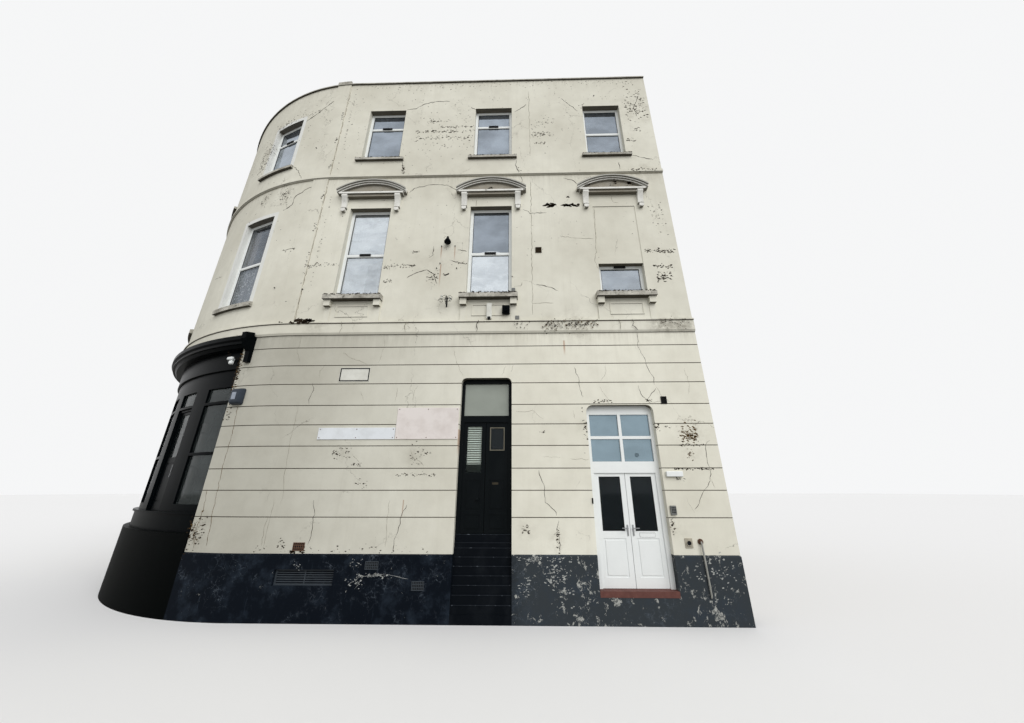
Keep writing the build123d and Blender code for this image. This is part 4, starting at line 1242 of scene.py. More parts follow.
# Vents and air bricks: along, foot, right end, top
vents = {
    "squareVent": (8.435, 4.07, 8.56, 4.23),
    "brownVent": (5.77, 8.12, 5.93, 8.29),
    "holeVent": (8.475, 1.25, 8.62, 1.42),
    "rustyBrick": (0.86, 1.18, 1.09, 1.325),
    "plinthVents": [(2.345, 0.87, 2.6, 1.01), (3.27, 0.53, 3.505, 0.685)],
    "plinthOut": 0.025,
    "slat": 0.006,
    "louvreOut": 0.02,
    "louvreFrame": 0.014,
    "brickFrame": 0.012,
    "collarRadius": 0.052,
    "holeRadius": 0.04,
}


def startLouvre(size, bars):
    # a frame with sloping slats in front of a dark back
    left, foot, right, top = size
    out, wide = vents["louvreOut"], vents["louvreFrame"]
    parts = [startRing((left, right), (foot, top), wide, (-out, 0.002), 0.002)]
    gap = (top - foot - 2 * wide) / bars
    for index in range(bars):
        z = foot + wide + (index + 0.5) * gap
        slat = startBox((left + wide / 2, right - wide / 2), (-0.011, 0.001),
                        around(0, vents["slat"]))
        slat.data.transform(Matrix.Translation((0, -out * 0.3, z))
                            @ Matrix.Rotation(math.radians(-35), 4, "X"))
        parts.append(slat)
    parts.append(startBox((left + wide / 2, right - wide / 2), (-0.001, 0.003),
                          (foot + wide / 2, top - wide / 2)))
    return soften(joinAll(parts), 0.0008, 1)


def startAirBrick(size, columns, rows, out):
    # a pierced block: frame and crossing bars over a dark back
    left, foot, right, top = size
    parts = [startRing((left, right), (foot, top), vents["brickFrame"], (-out, 0.002), 0.002)]
    for index in range(1, columns):
        x = left + (right - left) * index / columns
        parts.append(startBox((x - 0.005, x + 0.005), (-out + 0.002, 0.002), (foot + 0.006, top - 0.006)))
    for index in range(1, rows):
        z = foot + (top - foot) * index / rows
        parts.append(startBox((left + 0.006, right - 0.006), (-out + 0.003, 0.002), (z - 0.006, z + 0.006)))
    return soften(joinAll(parts), 0.001, 1)


def addShadeBack(size, name, out):
    # a dark sheet behind an air brick's bars: painted shade for the hole
    left, foot, right, top = size
    back = startBox((left + 0.004, right - 0.004), (-out - 0.001, 0.0015 - out), (foot + 0.004, top - 0.004))
    fixOn(soften(back, 0.0005, 1), name, rubberAndShade)


def addVents():
    square = startLouvre(vents["squareVent"], 6)
    fixOn(square, "square_vent", ventPlastic)
    brown = startLouvre(vents["brownVent"], 5)
    fixOn(brown, "brown_vent", rustBrown)
    brick = startAirBrick(vents["rustyBrick"], 6, 3, 0.012)
    fixOn(brick, "rusty_air_brick", rustyIron)
    addShadeBack(vents["rustyBrick"], "rusty_brick_shade_back", 0.0)
    for index, size in enumerate(vents["plinthVents"]):
        brick = startAirBrick(size, 7, 3, 0.01)
        settle(brick, frontPlace(0, 0, -vents["plinthOut"]))
        finishPiece(brick, "plinth_vent_%d" % (index + 1), plinthIron)
        addShadeBack(size, "plinth_vent_back_%d" % (index + 1), vents["plinthOut"])
    left, foot, right, top = vents["holeVent"]
    x, z = (left + right) / 2, (foot + top) / 2
    plate = soften(startBox((left, right), (-0.014, 0.002), (foot, top)), 0.004)
    collar = startDrum(vents["collarRadius"], (-0.03, -0.012), z, x, 28)
    collar = soften(recessFront(collar, 0.01, 0.016), 0.002, 1)
    fixOn(joinAll([plate, collar]), "hole_vent", paleVent)
    # painted shade: a dark disc in the collar for the hole
    hole = soften(startDrum(vents["holeRadius"], (-0.0165, -0.0125), z, x), 0.001, 1)
    fixOn(hole, "hole_vent_shade", rubberAndShade)


rustBrown = plainMaterial("rustBrown", colour(74, 62, 46), 0.7, 0.2, 0.25, 14.0)
paleVent = plainMaterial("paleVent", colour(178, 172, 156), 0.7, 0.2, 0.15, 14.0)
addVents()
print("boards and vents added")

# Small fittings of the front, as (left, foot, right, top, out)
fittings = {
    "keypad": (8.285, 1.83, 8.4, 2.0, 0.04),
    "lightBar": (8.3, 2.545, 8.635, 2.65, 0.06),
    "cableBox": (4.53, 6.175, 4.66, 6.6, 0.06),
    "cableClip": (4.565, 6.155, 4.63, 6.215, 0.09),
    "lensBox": (4.915, 6.29, 5.1, 6.51, 0.11),
    "paneBox": (5.145, 6.94, 5.235, 7.04, 0.05),
    "bandBox": (5.23, 6.155, 5.33, 6.26, 0.045),
    "apronOut": 0.014,
    "keyHalf": (0.011, 0.009),
    "keyStart": (0.031, 0.045),
    "keyPitch": (0.029, 0.03),
    "lensRadius": 0.05,
    "eyeRadius": 0.03,
    "lensDrop": 0.02,
    "stub": [(0.2, -0.02, 0.005), (0.21, -0.02, -0.03), (0.24, -0.012, -0.05), (0.25, 0.002, -0.055)],
}


def startCase(size, edge):
    left, foot, right, top, out = size
    return soften(startBox((left, right), (-out, 0.002), (foot, top)), edge, 3)


def addFittings():
    # keypad: grey case with twelve blank keys
    left, foot, right, top, out = fittings["keypad"]
    case = startCase(fittings["keypad"], 0.008)
    fixOn(case, "keypad_case", bluntGrey)
    wide, tall = fittings["keyHalf"]
    key = soften(startBox((-wide, wide), (-out - 0.006, -out + 0.002), (-tall, tall)), 0.003)
    (x, z), (acrossPitch, upPitch) = fittings["keyStart"], fittings["keyPitch"]
    keys = [copyTo(key, frontPlace(left + x + acrossPitch * column, foot + z + upPitch * row))
            for column in range(3) for row in range(4)]
    discard(key)
    finishPiece(joinAll(keys), "keypad_keys", rubberAndShade)
    # strip light: white body with a ribbed cover below
    body = startCase(fittings["lightBar"], 0.012)
    fixOn(body, "light_bar", whitePlastic)
    left, foot, right, top, out = fittings["lightBar"]
    cable = startPipe([(left + x, y, foot + z) for x, y, z in fittings["stub"]], 0.006)
    fixOn(cable, "light_bar_stub", darkIron, smooth=50)
    # cable box over the middle apron, with a dark clip at its foot
    place = frontPlace(0, 0, -fittings["apronOut"])
    box = startCase(fittings["cableBox"], 0.008)
    left, foot, right, top, out = fittings["cableBox"]
    lid = soften(startBox((left + 0.012, right - 0.012), (-out - 0.006, -out + 0.001),
                          (foot + 0.02, top - 0.02)), 0.004, 2)
    fixOn(joinAll([box, lid]), "cable_box", enamel, place)
    clip = startCase(fittings["cableClip"], 0.006)
    fixOn(clip, "cable_clip", darkIron, place)
    # dark box with a round lens
    left, foot, right, top, out = fittings["lensBox"]
    case = startCase(fittings["lensBox"], 0.018)
    x, z = (left + right) / 2, (foot + top) / 2 - fittings["lensDrop"]
    lens = startDrum(fittings["lensRadius"], (-out - 0.03, -out + 0.004), z, x, 28)
    lens = soften(recessFront(lens, 0.012, 0.012), 0.003)
    eye = soften(startDrum(fittings["eyeRadius"], (-out - 0.02, -out + 0.004), z, x, 20), 0.006, 3)
    fixOn(joinAll([case, lens, eye]), "lens_box", blackGloss, place, 40)
    # grey junction box beside the middle window
    box = startCase(fittings["paneBox"], 0.01)
    fixOn(box, "junction_box", bluntGrey)
    box = startCase(fittings["bandBox"], 0.012)
    fixOn(box, "band_box", bluntGrey)


addFittings()

# Iron bracket with two insulators and loose turns of wire, between the left two windows
bracket = {
    "place": (3.53, 6.68),
    "out": 0.15,
    "turns": [(0.075, 0.05, -0.03, 20), (0.06, 0.1, 0.03, -15), (0.085, -0.06, 0.02, 35),
              (0.05, -0.12, -0.05, -30)],
    "wire": 0.0045,
    "insulators": [(-0.1, 0.05), (0.11, -0.01)],
}


def addBracket():
    base = frontPlace(*bracket["place"])
    out = bracket["out"]
    plate = soften(startBox((-0.018, 0.018), (-0.01, 0.002), (-0.15, 0.12)), 0.003)
    arm = startPipe([(0, -0.005, 0.08), (0, -out * 0.8, 0.1), (0, -out, 0.07), (0, -out, -0.08),
                     (0, -out * 0.8, -0.11), (0, -0.005, -0.12)], 0.007)
    cross = startPipe([(-0.15, -out, 0.02), (0, -out, 0.03), (0.16, -out, -0.02)], 0.006)
    loops = []
    for radius, x, z, tilt in bracket["turns"]:
        ring = [(x + radius * math.cos(a), -out - 0.02 - 0.012 * math.sin(2 * a),
                 z + radius * 0.8 * math.sin(a + math.radians(tilt)))
                for a in (math.tau * step / 20 for step in range(20))]
        loops.append(startPipe(ring + ring[:2], bracket["wire"], 1))
    iron = joinAll([plate, arm, cross] + loops)
    fixOn(iron, "wall_bracket", darkIron, base, 50)
    spools = []
    for x, z in bracket["insulators"]:
        spool = startTurned([(0.0, -0.045), (0.03, -0.045), (0.034, -0.03), (0.018, -0.012),
                             (0.018, 0.008), (0.034, 0.026), (0.028, 0.045), (0.0, 0.045)])
        spool.data.transform(Matrix.Translation((x, -out, z)))
        spools.append(spool)
    fixOn(joinAll(spools), "insulators", enamel, base, 50)


addBracket()

# Black bell-shaped cable entry on a short arm, above the bracket
bell = {
    "place": (3.455, 8.39),
    "out": 0.11,
    "profile": [(0.0, 0.0), (0.07, 0.0), (0.088, 0.02), (0.09, 0.05), (0.062, 0.11),
                (0.034, 0.15), (0.028, 0.2), (0.012, 0.215), (0.0, 0.215)],
}


def addBell():
    shade = startTurned(bell["profile"], 24)
    shade.data.transform(Matrix.Translation((0, -bell["out"], 0)))
    arm = startPipe([(0, 0.002, 0.13), (0, -bell["out"] * 0.5, 0.14), (0, -bell["out"], 0.12)], 0.013)
    fixOn(joinAll([shade, arm]), "cable_bell", blackGloss,
          frontPlace(*bell["place"]), 45)


addBell()

# Rusty flange with a pale pipe down the plinth, at the low end of the front
pipe = {
    "along": 8.77,
    "top": 1.36,
    "foot": 0.45,
    "out": 0.05,
    "radius": 0.017,
    "flange": 0.052,
}


def addPipe():
    x, out = pipe["along"], pipe["out"]
    flange = soften(startDrum(pipe["flange"], (-0.02, 0.002), pipe["top"], x, 24), 0.004)
    nut = soften(startDrum(0.032, (-0.045, -0.018), pipe["top"], x, 6), 0.004)
    fixOn(joinAll([flange, nut]), "pipe_flange", rustyIron)
    run = startPipe([(x, -0.02, pipe["top"]), (x, -out * 0.8, pipe["top"] - 0.005),
                     (x + 0.001, -out, pipe["top"] - 0.03),
                     (x + 0.012, -out, (pipe["top"] + pipe["foot"]) / 2),
                     (x + 0.02, -out, pipe["foot"] + 0.03), (x + 0.02, -out * 0.8, pipe["foot"] + 0.005),
                     (x + 0.02, -0.02, pipe["foot"])], pipe["radius"], 4)
    fixOn(run, "overflow_pipe", palePipe, smooth=40)


palePipe = plainMaterial("palePipe", colour(160, 160, 154), 0.55, 0.3, 0.15, 10.0)
addPipe()

# Alarm box on the curve beside the shop, its face bare
alarm = {
    "along": -1.14,
    "height": 4.3,
    "half": (0.16, 0.2),
    "out": 0.13,
    "label": (0.055, 0.085),
}


def addAlarm():
    wide, tall = alarm["half"]
    place = wallPlace(alarm["along"], alarm["height"])
    case = startBox((-wide, wide), (-alarm["out"], 0.008), (-tall, tall))
    pick(case)
    bpy.ops.object.mode_set(mode="EDIT")
    selectFaces(case, lambda middle, normal: normal.y < -0.9)
    bpy.ops.transform.resize(value=(0.86, 1, 0.84))
    bpy.ops.object.mode_set(mode="OBJECT")
    case = soften(case, 0.045, 5)
    fixOn(case, "alarm_box", alarmPlastic, place, 40)
    x, z = alarm["label"]
    panel = startBox((-x - 0.02, x - 0.02), (-alarm["out"] - 0.006, -alarm["out"] + 0.004), (-z, z))
    fixOn(soften(panel, 0.02, 4), "alarm_face", alarmFace, place, 40)


alarmFace = boardMaterial("alarmFace", colour(150, 158, 170), colour(70, 76, 86))
addAlarm()

# White security light on the fascia's end
lamp = {
    "angle": 15.3,
    "height": 5.28,
    "fasciaDepth": 0.1,
    "base": 0.055,
    "arm": [(0, -0.02, 0.02), (0.02, -0.07, 0.03), (0.05, -0.1, 0.02)],
    "armRadius": 0.014,
    "head": [(-0.02, 0.15), (-0.15, -0.07), (-0.02, 0.06)],
    "sensor": [(0.06, 0.16), (-0.14, -0.06), (-0.13, -0.04)],
    "link": [(0.11, -0.1, 0.0), (0.11, -0.1, -0.06)],
    "linkRadius": 0.012,
}


def addLamp():
    place = cornerPlace(lamp["angle"], lamp["height"], lamp["fasciaDepth"])
    base = soften(startDrum(lamp["base"], (-0.03, 0.004), 0.02), 0.006)
    arm = startPipe(lamp["arm"], lamp["armRadius"])
    head = soften(startBox(*lamp["head"]), 0.03, 5)
    low = soften(startBox(*lamp["sensor"]), 0.025, 5)
    link = startPipe(lamp["link"], lamp["linkRadius"])
    fixOn(joinAll([base, arm, head, low, link]), "security_light", whitePlastic,
          place, 40)


addLamp()

print("fittings added")

# Nails and stubs left in the wall: along and height
nails = {
    "places": [(3.28, 8.37), (3.64, 8.37), (3.277, 7.83), (3.2, 7.68), (3.72, 7.67), (5.29, 6.19),
               (7.79, 14.2), (-0.9, 12.2), (-1.0, 7.2), (-0.55, 6.75), (-0.2, 7.1)],
    "radius": 0.014,
    "out": 0.03,
}


def addNails():
    nail = soften(startDrum(nails["radius"], (-nails["out"], 0.01), 0, 0, 10), 0.004, 1)
    heads = [copyTo(nail, wallPlace(along, z)) for along, z in nails["places"]]
    discard(nail)
    finishPiece(joinAll(heads), "old_nails", darkIron)


addNails()

# Cracks read off the wall: (along, height) points, below 0 round the curve
darkCracks = [
    [(1.78, 13.76), (2.07, 13.79), (2.28, 13.98), (2.53, 14.09), (2.82, 14.12), (3.15, 14.11)],
    [(3.83, 13.82), (4.0, 13.68)],
    [(5.24, 13.54), (5.35, 13.63), (5.51, 13.76), (5.61, 13.9)],
    [(1.86, 11.52), (1.93, 11.23), (1.98, 11.07), (1.91, 10.98)],
    [(2.22, 10.26), (2.34, 10.43), (2.82, 10.55), (3.28, 10.53), (3.44, 10.42), (3.62, 10.3)],
    [(5.29, 11.46), (5.25, 11.26), (5.31, 11.08), (5.39, 10.97)],
    [(5.39, 10.82), (5.45, 10.67), (5.42, 10.51)],
    [(5.46, 9.58), (5.6, 9.52), (5.65, 9.43), (5.85, 9.46), (6.1, 9.46)],
    [(6.74, 14.12), (6.95, 13.85), (7.1, 13.7), (7.22, 13.51)],
    [(9.21, 14.14), (9.12, 13.91), (8.98, 13.59), (9.05, 13.4), (9.03, 13.22)],
    [(9.15, 13.4), (9.38, 13.46)],
    [(8.68, 11.55), (8.82, 11.53), (8.98, 11.45), (9.29, 11.36)],
    [(8.28, 11.29), (8.29, 10.98)],
    [(6.63, 10.71), (6.88, 10.63), (7.04, 10.47)],
    [(2.5, 8.21), (2.69, 8.21)],
    [(3.06, 8.39), (3.07, 8.1), (2.97, 8.01)],
    [(3.71, 8.25), (3.97, 8.2)],
    [(3.51, 7.94), (3.69, 7.87), (3.96, 7.79)],
    [(2.34, 7.79), (2.65, 7.78)],
    [(2.45, 7.4), (2.62, 7.52), (2.95, 7.64), (3.14, 7.51), (3.24, 7.21)],
    [(5.76, 7.17), (5.99, 7.11), (6.19, 7.04), (6.31, 6.96)],
    [(6.74, 4.22), (6.68, 4.39), (6.67, 4.67), (6.61, 4.79), (6.58, 4.94)],
    [(7.98, 4.49), (8.02, 4.29), (8.15, 4.13), (8.21, 4.08)],
    [(8.37, 4.42), (8.21, 4.24), (8.13, 4.15)],
    [(9.33, 3.27), (9.23, 3.19), (9.2, 2.95), (9.21, 2.75), (9.22, 2.59), (9.11, 2.36), (9.01, 2.27),
     (8.9, 2.1), (8.84, 1.99), (8.77, 1.93)],
    [(5.71, 2.68), (5.75, 2.52), (5.82, 2.33), (5.82, 2.06), (5.95, 1.95), (6.03, 1.88), (6.04, 1.81)],
    [(6.08, 1.73), (6.03, 1.57), (6.08, 1.43), (6.08, 1.17)],
    [(1.1, 2.1), (1.16, 1.9), (1.17, 1.64), (1.17, 1.37), (1.14, 1.28)],
    [(3.03, 2.01), (2.94, 1.82), (2.9, 1.52), (2.84, 1.37), (2.85, 1.15)],
    [(0.57, 4.6), (0.63, 4.43), (0.56, 4.2), (0.59, 4.09)],
    [(8.12, 5.78), (8.1, 5.42), (8.15, 5.27), (8.22, 5.12), (8.24, 4.94), (8.29, 4.78), (8.36, 4.66),
     (8.34, 4.5)],
    [(-1.56, 11.58), (-1.33, 11.36), (-1.16, 11.03), (-1.08, 10.98)],
    [(-1.4, 9.87), (-1.2, 10.01), (-1.2, 10.2), (-1.15, 10.33), (-0.97, 10.42), (-0.9, 10.52),
     (-0.66, 10.6), (-0.4, 10.64)],
    [(-0.65, 9.27), (-0.52, 9.37), (-0.26, 9.38)],
    [(-1.1, 8.38), (-0.92, 8.41), (-0.69, 8.41)],
    [(-0.6, 8.32), (-0.26, 8.32)],
    [(8.02, 6.13), (8.06, 6.03), (8.01, 5.95), (8.09, 5.88), (8.13, 5.82)],
    [(4.35, 6.14), (4.3, 6.02), (4.33, 5.9), (4.3, 5.82)],
    [(-1.6, 13.6), (-1.35, 13.75), (-1.1, 13.95), (-0.85, 14.2), (-0.72, 14.32)],
]

hairCracks = [
    [(8.38, 4.44), (8.43, 4.36), (8.48, 4.24)],
    [(9.07, 4.88), (9.12, 4.56), (9.07, 4.28)],
    [(8.13, 4.15), (8.3, 4.1), (8.45, 4.12)],
    [(7.7, 6.13), (7.74, 5.98), (7.71, 5.82)],
    [(2.6, 6.13), (2.56, 6.0), (2.6, 5.83)],
    [(1.0, 6.14), (1.05, 5.97), (1.0, 5.82)],
    [(7.95, 10.02), (7.93, 9.9), (7.97, 9.78), (8.12, 9.76)],
    [(7.43, 9.6), (7.4, 9.0), (7.36, 8.18), (7.29, 7.84), (7.38, 7.59)],
    [(6.44, 8.65), (6.84, 8.58), (7.34, 8.55)],
    [(4.14, 9.7), (4.17, 9.95)],
    [(5.21, 7.09), (5.38, 7.12), (5.41, 7.23)],
    [(5.65, 6.62), (6.19, 6.62)],
    [(3.78, 5.39), (3.85, 5.13), (4.03, 4.72)],
    [(4.92, 4.75), (5.01, 4.97)],
    [(5.13, 4.83), (5.18, 5.0)],
    [(7.3, 5.0), (7.28, 4.78), (7.16, 4.6)],
    [(7.13, 4.48), (7.2, 4.31), (7.28, 4.18)],
    [(5.78, 2.94), (5.91, 2.95), (6.16, 2.92)],
    [(6.38, 2.9), (6.76, 2.89)],
    [(5.24, 3.92), (5.44, 3.9), (5.61, 3.94), (5.7, 3.85), (5.83, 3.74)],
    [(6.49, 3.93), (6.52, 3.74)],
    [(0.35, 4.02), (0.35, 3.64), (0.34, 3.27), (0.36, 2.89), (0.39, 2.49), (0.44, 2.2), (0.44, 2.01)],
    [(0.27, 2.12), (0.28, 1.82), (0.27, 1.46), (0.27, 1.23)],
    [(0.22, 1.82), (0.21, 1.51), (0.22, 1.26)],
    [(2.67, 2.1), (2.66, 1.82), (2.68, 1.52), (2.68, 1.24)],
    [(2.09, 5.7), (2.12, 5.53), (2.07, 5.23), (2.02, 5.08)],
    [(3.01, 4.53), (2.94, 4.35), (2.94, 4.14)],
    [(2.54, 4.47), (2.53, 4.14)],
    [(0.06, 5.75), (0.06, 5.56), (0.02, 5.43), (0.14, 5.12)],
    [(0.79, 5.06), (0.68, 4.89), (0.69, 4.72)],
    [(1.72, 4.38), (1.83, 4.15)],
    [(1.15, 5.34), (1.43, 5.18), (1.77, 5.05)],
    [(1.74, 3.01), (1.86, 2.91), (1.94, 2.83), (1.97, 2.77)],
    [(2.99, 3.11), (3.03, 2.99), (3.08, 2.91), (3.19, 2.87), (3.3, 2.76)],
    [(-3.5, 8.13), (-4.1, 8.25)],
    [(9.2, 2.5), (9.26, 2.32)],
    [(5.7, 14.5), (5.69, 13.0), (5.7, 11.6)],
    [(5.69, 10.6), (5.68, 9.38), (5.67, 7.59), (5.66, 6.3)],
]

plinthScars = [
    [(2.05, 0.6), (2.2, 0.7), (2.32, 0.76), (2.45, 0.78), (2.6, 0.76), (2.75, 0.8)],
    [(2.32, 0.76), (2.26, 0.62), (2.2, 0.55)],
    [(2.75, 0.8), (3.05, 0.74), (3.2, 0.72)],
]

crackShape = {
    "wide": 0.0105,     # across, in metres
    "fine": 0.006,
    "scar": 0.007,
    "high": 1.55,       # cracks gape more above the floor band than below it
    "low": 0.85,
    "tip": 0.3,
    "gape": (0.45, 1.35),
    "stride": 0.07,     # how often a crack turns
    "wander": 0.015,
}


def crackPoints(line, chance):
    # walks along a line, stepping aside a little at each turn
    spots = []
    for (x0, z0), (x1, z1) in zip(line, line[1:]):
        run = math.hypot(x1 - x0, z1 - z0)
        count = max(1, round(run / crackShape["stride"]))
        for index in range(count):
            share = index / count
            aside = chance.uniform(-1, 1) * crackShape["wander"] if index else 0.0
            spots.append((x0 + (x1 - x0) * share - (z1 - z0) / run * aside,
                          z0 + (z1 - z0) * share + (x1 - x0) / run * aside))
    return spots + [line[-1]]


# The brownish joint beside the shop
brownCracks = [
    [(-1.12, 4.1), (-1.05, 3.33), (-1.06, 2.7), (-1.02, 2.1), (-0.98, 1.72), (-0.93, 1.25)],
    [(-1.3, 2.3), (-1.24, 1.9), (-1.3, 1.5), (-1.22, 1.2)],
]

# The joint where the pilaster stands out
pilasterJoints = [
    [(-0.216, 14.7), (-0.216, 13.2), (-0.216, 11.0)],
    [(-0.216, 10.8), (-0.216, 8.6), (-0.216, 6.2)],
]

# What stands out from the wall face: foot, top and how far
reliefs = [(0.0, 1.12, 0.025), (5.8, 6.15, 0.07), (10.83, 10.96, 0.055)]
aprons = {
    "heights": (6.15, 6.72),
    "half": 0.56,
}


def reliefAt(along, z):
    for low, high, out in reliefs:
        if low <= z <= high:
            return out
    foot, top = aprons["heights"]
    if foot < z < top and any(abs(along - bay) < aprons["half"] for bay in windows["frontBays"]):
        return fittings["apronOut"]
    return 0.0


def addCracks(name, lines, width, material):
    chance = random.Random(name)
    deselectAll()
    curve = bpy.data.curves.new(name, "CURVE")
    curve.dimensions = "3D"
    curve.bevel_depth = width / 2
    curve.bevel_resolution = 0
    curve.use_fill_caps = True
    for line in lines:
        spots = crackPoints(line, chance)
        thread = curve.splines.new("POLY")
        thread.points.add(len(spots) - 1)
        for index, (along, z) in enumerate(spots):
            point = thread.points[index]
            point.co = (*wallPlace(along, z, -reliefAt(along, z)).translation, 1.0)
            ending = crackShape["tip"] if index in (0, len(spots) - 1) else 1.0
            ending *= crackShape["high" if z > creamPaint["bandHeights"][0] else "low"]
            point.radius = ending * chance.uniform(*crackShape["gape"])
    piece = bpy.data.objects.new(name, curve)
    bpy.context.collection.objects.link(piece)
    finishPiece(curveToMesh(piece), name, material)


addCracks("wide_cracks", darkCracks, crackShape["wide"], crackShadow)
addCracks("brown_cracks", brownCracks, crackShape["wide"], rustScar)
addCracks("pilaster_joints", pilasterJoints, crackShape["fine"], rustScar)
addCracks("hair_cracks", hairCracks, crackShape["fine"], faintCrack)
addCracks("plinth_scars", plinthScars, crackShape["scar"], paleScar)
print("cracks drawn")

# Rows and groups of flakes: along from, to, height, spread, how many, size
darkFlakes = [
    (2.48, 2.92, 13.19, 0.02, 16, 0.03), (2.91, 4.01, 12.92, 0.02, 46, 0.03),
    (2.14, 4.05, 12.73, 0.03, 74, 0.033), (2.17, 4.03, 12.45, 0.05, 70, 0.032),
    (2.2, 3.9, 13.3, 0.25, 40, 0.022), (2.3, 4.0, 12.1, 0.12, 26, 0.022),
    (5.71, 6.33, 12.52, 0.07, 44, 0.032), (5.83, 6.16, 12.13, 0.03, 18, 0.03),
    (5.6, 6.5, 13.0, 0.12, 30, 0.024),
    (8.46, 9.32, 10.94, 0.05, 50, 0.026), (8.62, 9.4, 8.13, 0.035, 70, 0.03),
    (8.79, 9.24, 7.65, 0.03, 34, 0.03), (8.82, 9.19, 7.33, 0.07, 60, 0.03),
    (6.31, 7.21, 6.0, 0.07, 90, 0.022), (5.86, 6.3, 5.98, 0.08, 50, 0.02),
    (2.48, 2.72, 8.21, 0.02, 12, 0.024), (3.67, 3.99, 7.84, 0.03, 16, 0.024),
    (1.81, 2.65, 7.76, 0.03, 50, 0.024), (1.84, 2.08, 7.32, 0.03, 14, 0.024),
    (2.95, 3.27, 7.42, 0.1, 30, 0.026), (-0.69, -0.07, 7.8, 0.03, 36, 0.026),
    (-0.08, 0.66, 7.84, 0.03, 36, 0.024), (-1.11, -0.27, 8.38, 0.03, 20, 0.022),
    (6.68, 6.77, 3.55, 0.17, 30, 0.024), (8.23, 8.32, 3.55, 0.05, 14, 0.026),
    (8.43, 8.58, 3.55, 0.02, 7, 0.024), (8.5, 9.3, 2.7, 0.012, 70, 0.018),
    (8.5, 8.7, 2.5, 0.02, 9, 0.02), (5.73, 5.86, 3.46, 0.02, 7, 0.02),
    (5.35, 5.5, 1.55, 0.07, 20, 0.022), (6.01, 6.08, 1.36, 0.14, 26, 0.022),
    (8.27, 8.31, 1.58, 0.09, 14, 0.022), (6.88, 7.36, 4.13, 0.02, 26, 0.022),
    (-1.53, -1.07, 1.45, 0.16, 80, 0.03), (1.29, 1.71, 3.02, 0.07, 34, 0.022),
    (1.77, 1.97, 2.8, 0.03, 12, 0.024), (2.99, 3.3, 2.93, 0.13, 30, 0.018),
    (3.3, 3.43, 3.03, 0.02, 8, 0.02), (2.73, 3.55, 2.585, 0.018, 44, 0.02),
    (1.89, 2.16, 2.41, 0.05, 16, 0.02), (-1.71, -1.31, 10.48, 0.16, 60, 0.026),
    (-2.53, -2.2, 10.5, 0.12, 34, 0.026), (7.25, 7.55, 13.75, 0.06, 20, 0.022),
    (8.72, 9.4, 13.8, 0.38, 110, 0.034), (8.87, 9.07, 12.65, 0.05, 16, 0.034),
    (8.52, 8.92, 12.18, 0.04, 18, 0.034), (8.9, 9.3, 9.3, 0.25, 40, 0.024),
    (-3.5, -2.9, 12.6, 0.5, 120, 0.034), (-3.1, -2.3, 13.85, 0.07, 40, 0.03),
    (-2.6, -0.9, 13.95, 0.1, 60, 0.024), (0.4, 9.2, 14.85, 0.08, 150, 0.02),
    (5.1, 5.2, 7.42, 0.04, 6, 0.02), (-0.7, 0.3, 6.2, 0.03, 40, 0.03), (-0.05, 0.0, 12.9, 1.1, 36, 0.02),
    (-0.05, 0.0, 8.5, 1.2, 34, 0.02),
    (8.71, 9.37, 6.0, 0.08, 34, 0.02), (5.18, 5.59, 6.0, 0.06, 22, 0.02),
    (0.1, 3.6, 1.2, 0.04, 60, 0.018), (-1.95, -1.5, 5.55, 0.15, 40, 0.026),
    (-1.47, -1.35, 4.9, 0.33, 80, 0.032),
    (-1.46, -1.25, 3.9, 0.1, 20, 0.026), (0.55, 0.7, 1.3, 0.06, 12, 0.03),
    (1.0, 1.12, 1.22, 0.04, 14, 0.034), (0.82, 1.1, 1.16, 0.015, 20, 0.03),
    (8.1, 8.24, 4.14, 0.03, 14, 0.02), (8.65, 9.2, 3.18, 0.012, 40, 0.017),
    (1.88, 2.0, 11.18, 0.1, 22, 0.034), (5.3, 5.42, 11.05, 0.1, 14, 0.026),
    (-0.3, -0.235, 13.4, 0.12, 14, 0.03, 0.025), (-0.3, -0.235, 12.45, 0.05, 7, 0.036, 0.025),
    (-0.3, -0.235, 11.3, 0.1, 10, 0.03, 0.025), (-0.3, -0.235, 10.2, 0.1, 12, 0.03, 0.025),
    (-0.3, -0.235, 9.1, 0.1, 10, 0.026, 0.025), (-0.3, -0.235, 7.9, 0.3, 16, 0.024, 0.025),
]

# Small pits all over the upper walls
wallPits = [
    (-0.15, 9.3, 12.6, 0.7, 240, 0.016), (-0.15, 9.3, 14.25, 0.2, 90, 0.016),
    (-0.15, 9.3, 8.9, 0.8, 140, 0.014), (-4.4, -0.75, 12.9, 0.65, 130, 0.017),
    (-4.0, -0.75, 9.4, 0.8, 60, 0.014), (-8.0, -4.4, 12.6, 0.7, 60, 0.016),
]

brownFlakes = [
    (8.72, 9.1, 3.4, 0.1, 100, 0.03), (8.79, 8.95, 2.98, 0.05, 18, 0.02),
    (6.31, 7.21, 6.0, 0.07, 50, 0.022), (5.86, 6.3, 5.98, 0.07, 30, 0.02),
    (-1.47, -1.32, 4.95, 0.33, 40, 0.03), (-1.5, -1.15, 1.55, 0.12, 20, 0.024),
]

# Pale flakes on the plinth, along its scars and down towards the low end
paleFlakes = [
    (2.2, 2.8, 0.77, 0.02, 40, 0.024), (2.0, 2.35, 0.66, 0.04, 24, 0.022),
    (2.0, 2.3, 0.95, 0.05, 12, 0.016), (0.95, 1.2, 0.9, 0.05, 10, 0.014),
    (5.25, 5.5, 0.62, 0.08, 30, 0.02), (5.75, 6.2, 0.8, 0.1, 70, 0.026),
    (6.05, 6.3, 0.45, 0.08, 20, 0.024), (5.25, 6.3, 1.06, 0.02, 60, 0.018),
    (8.55, 9.3, 0.8, 0.18, 70, 0.022),
]

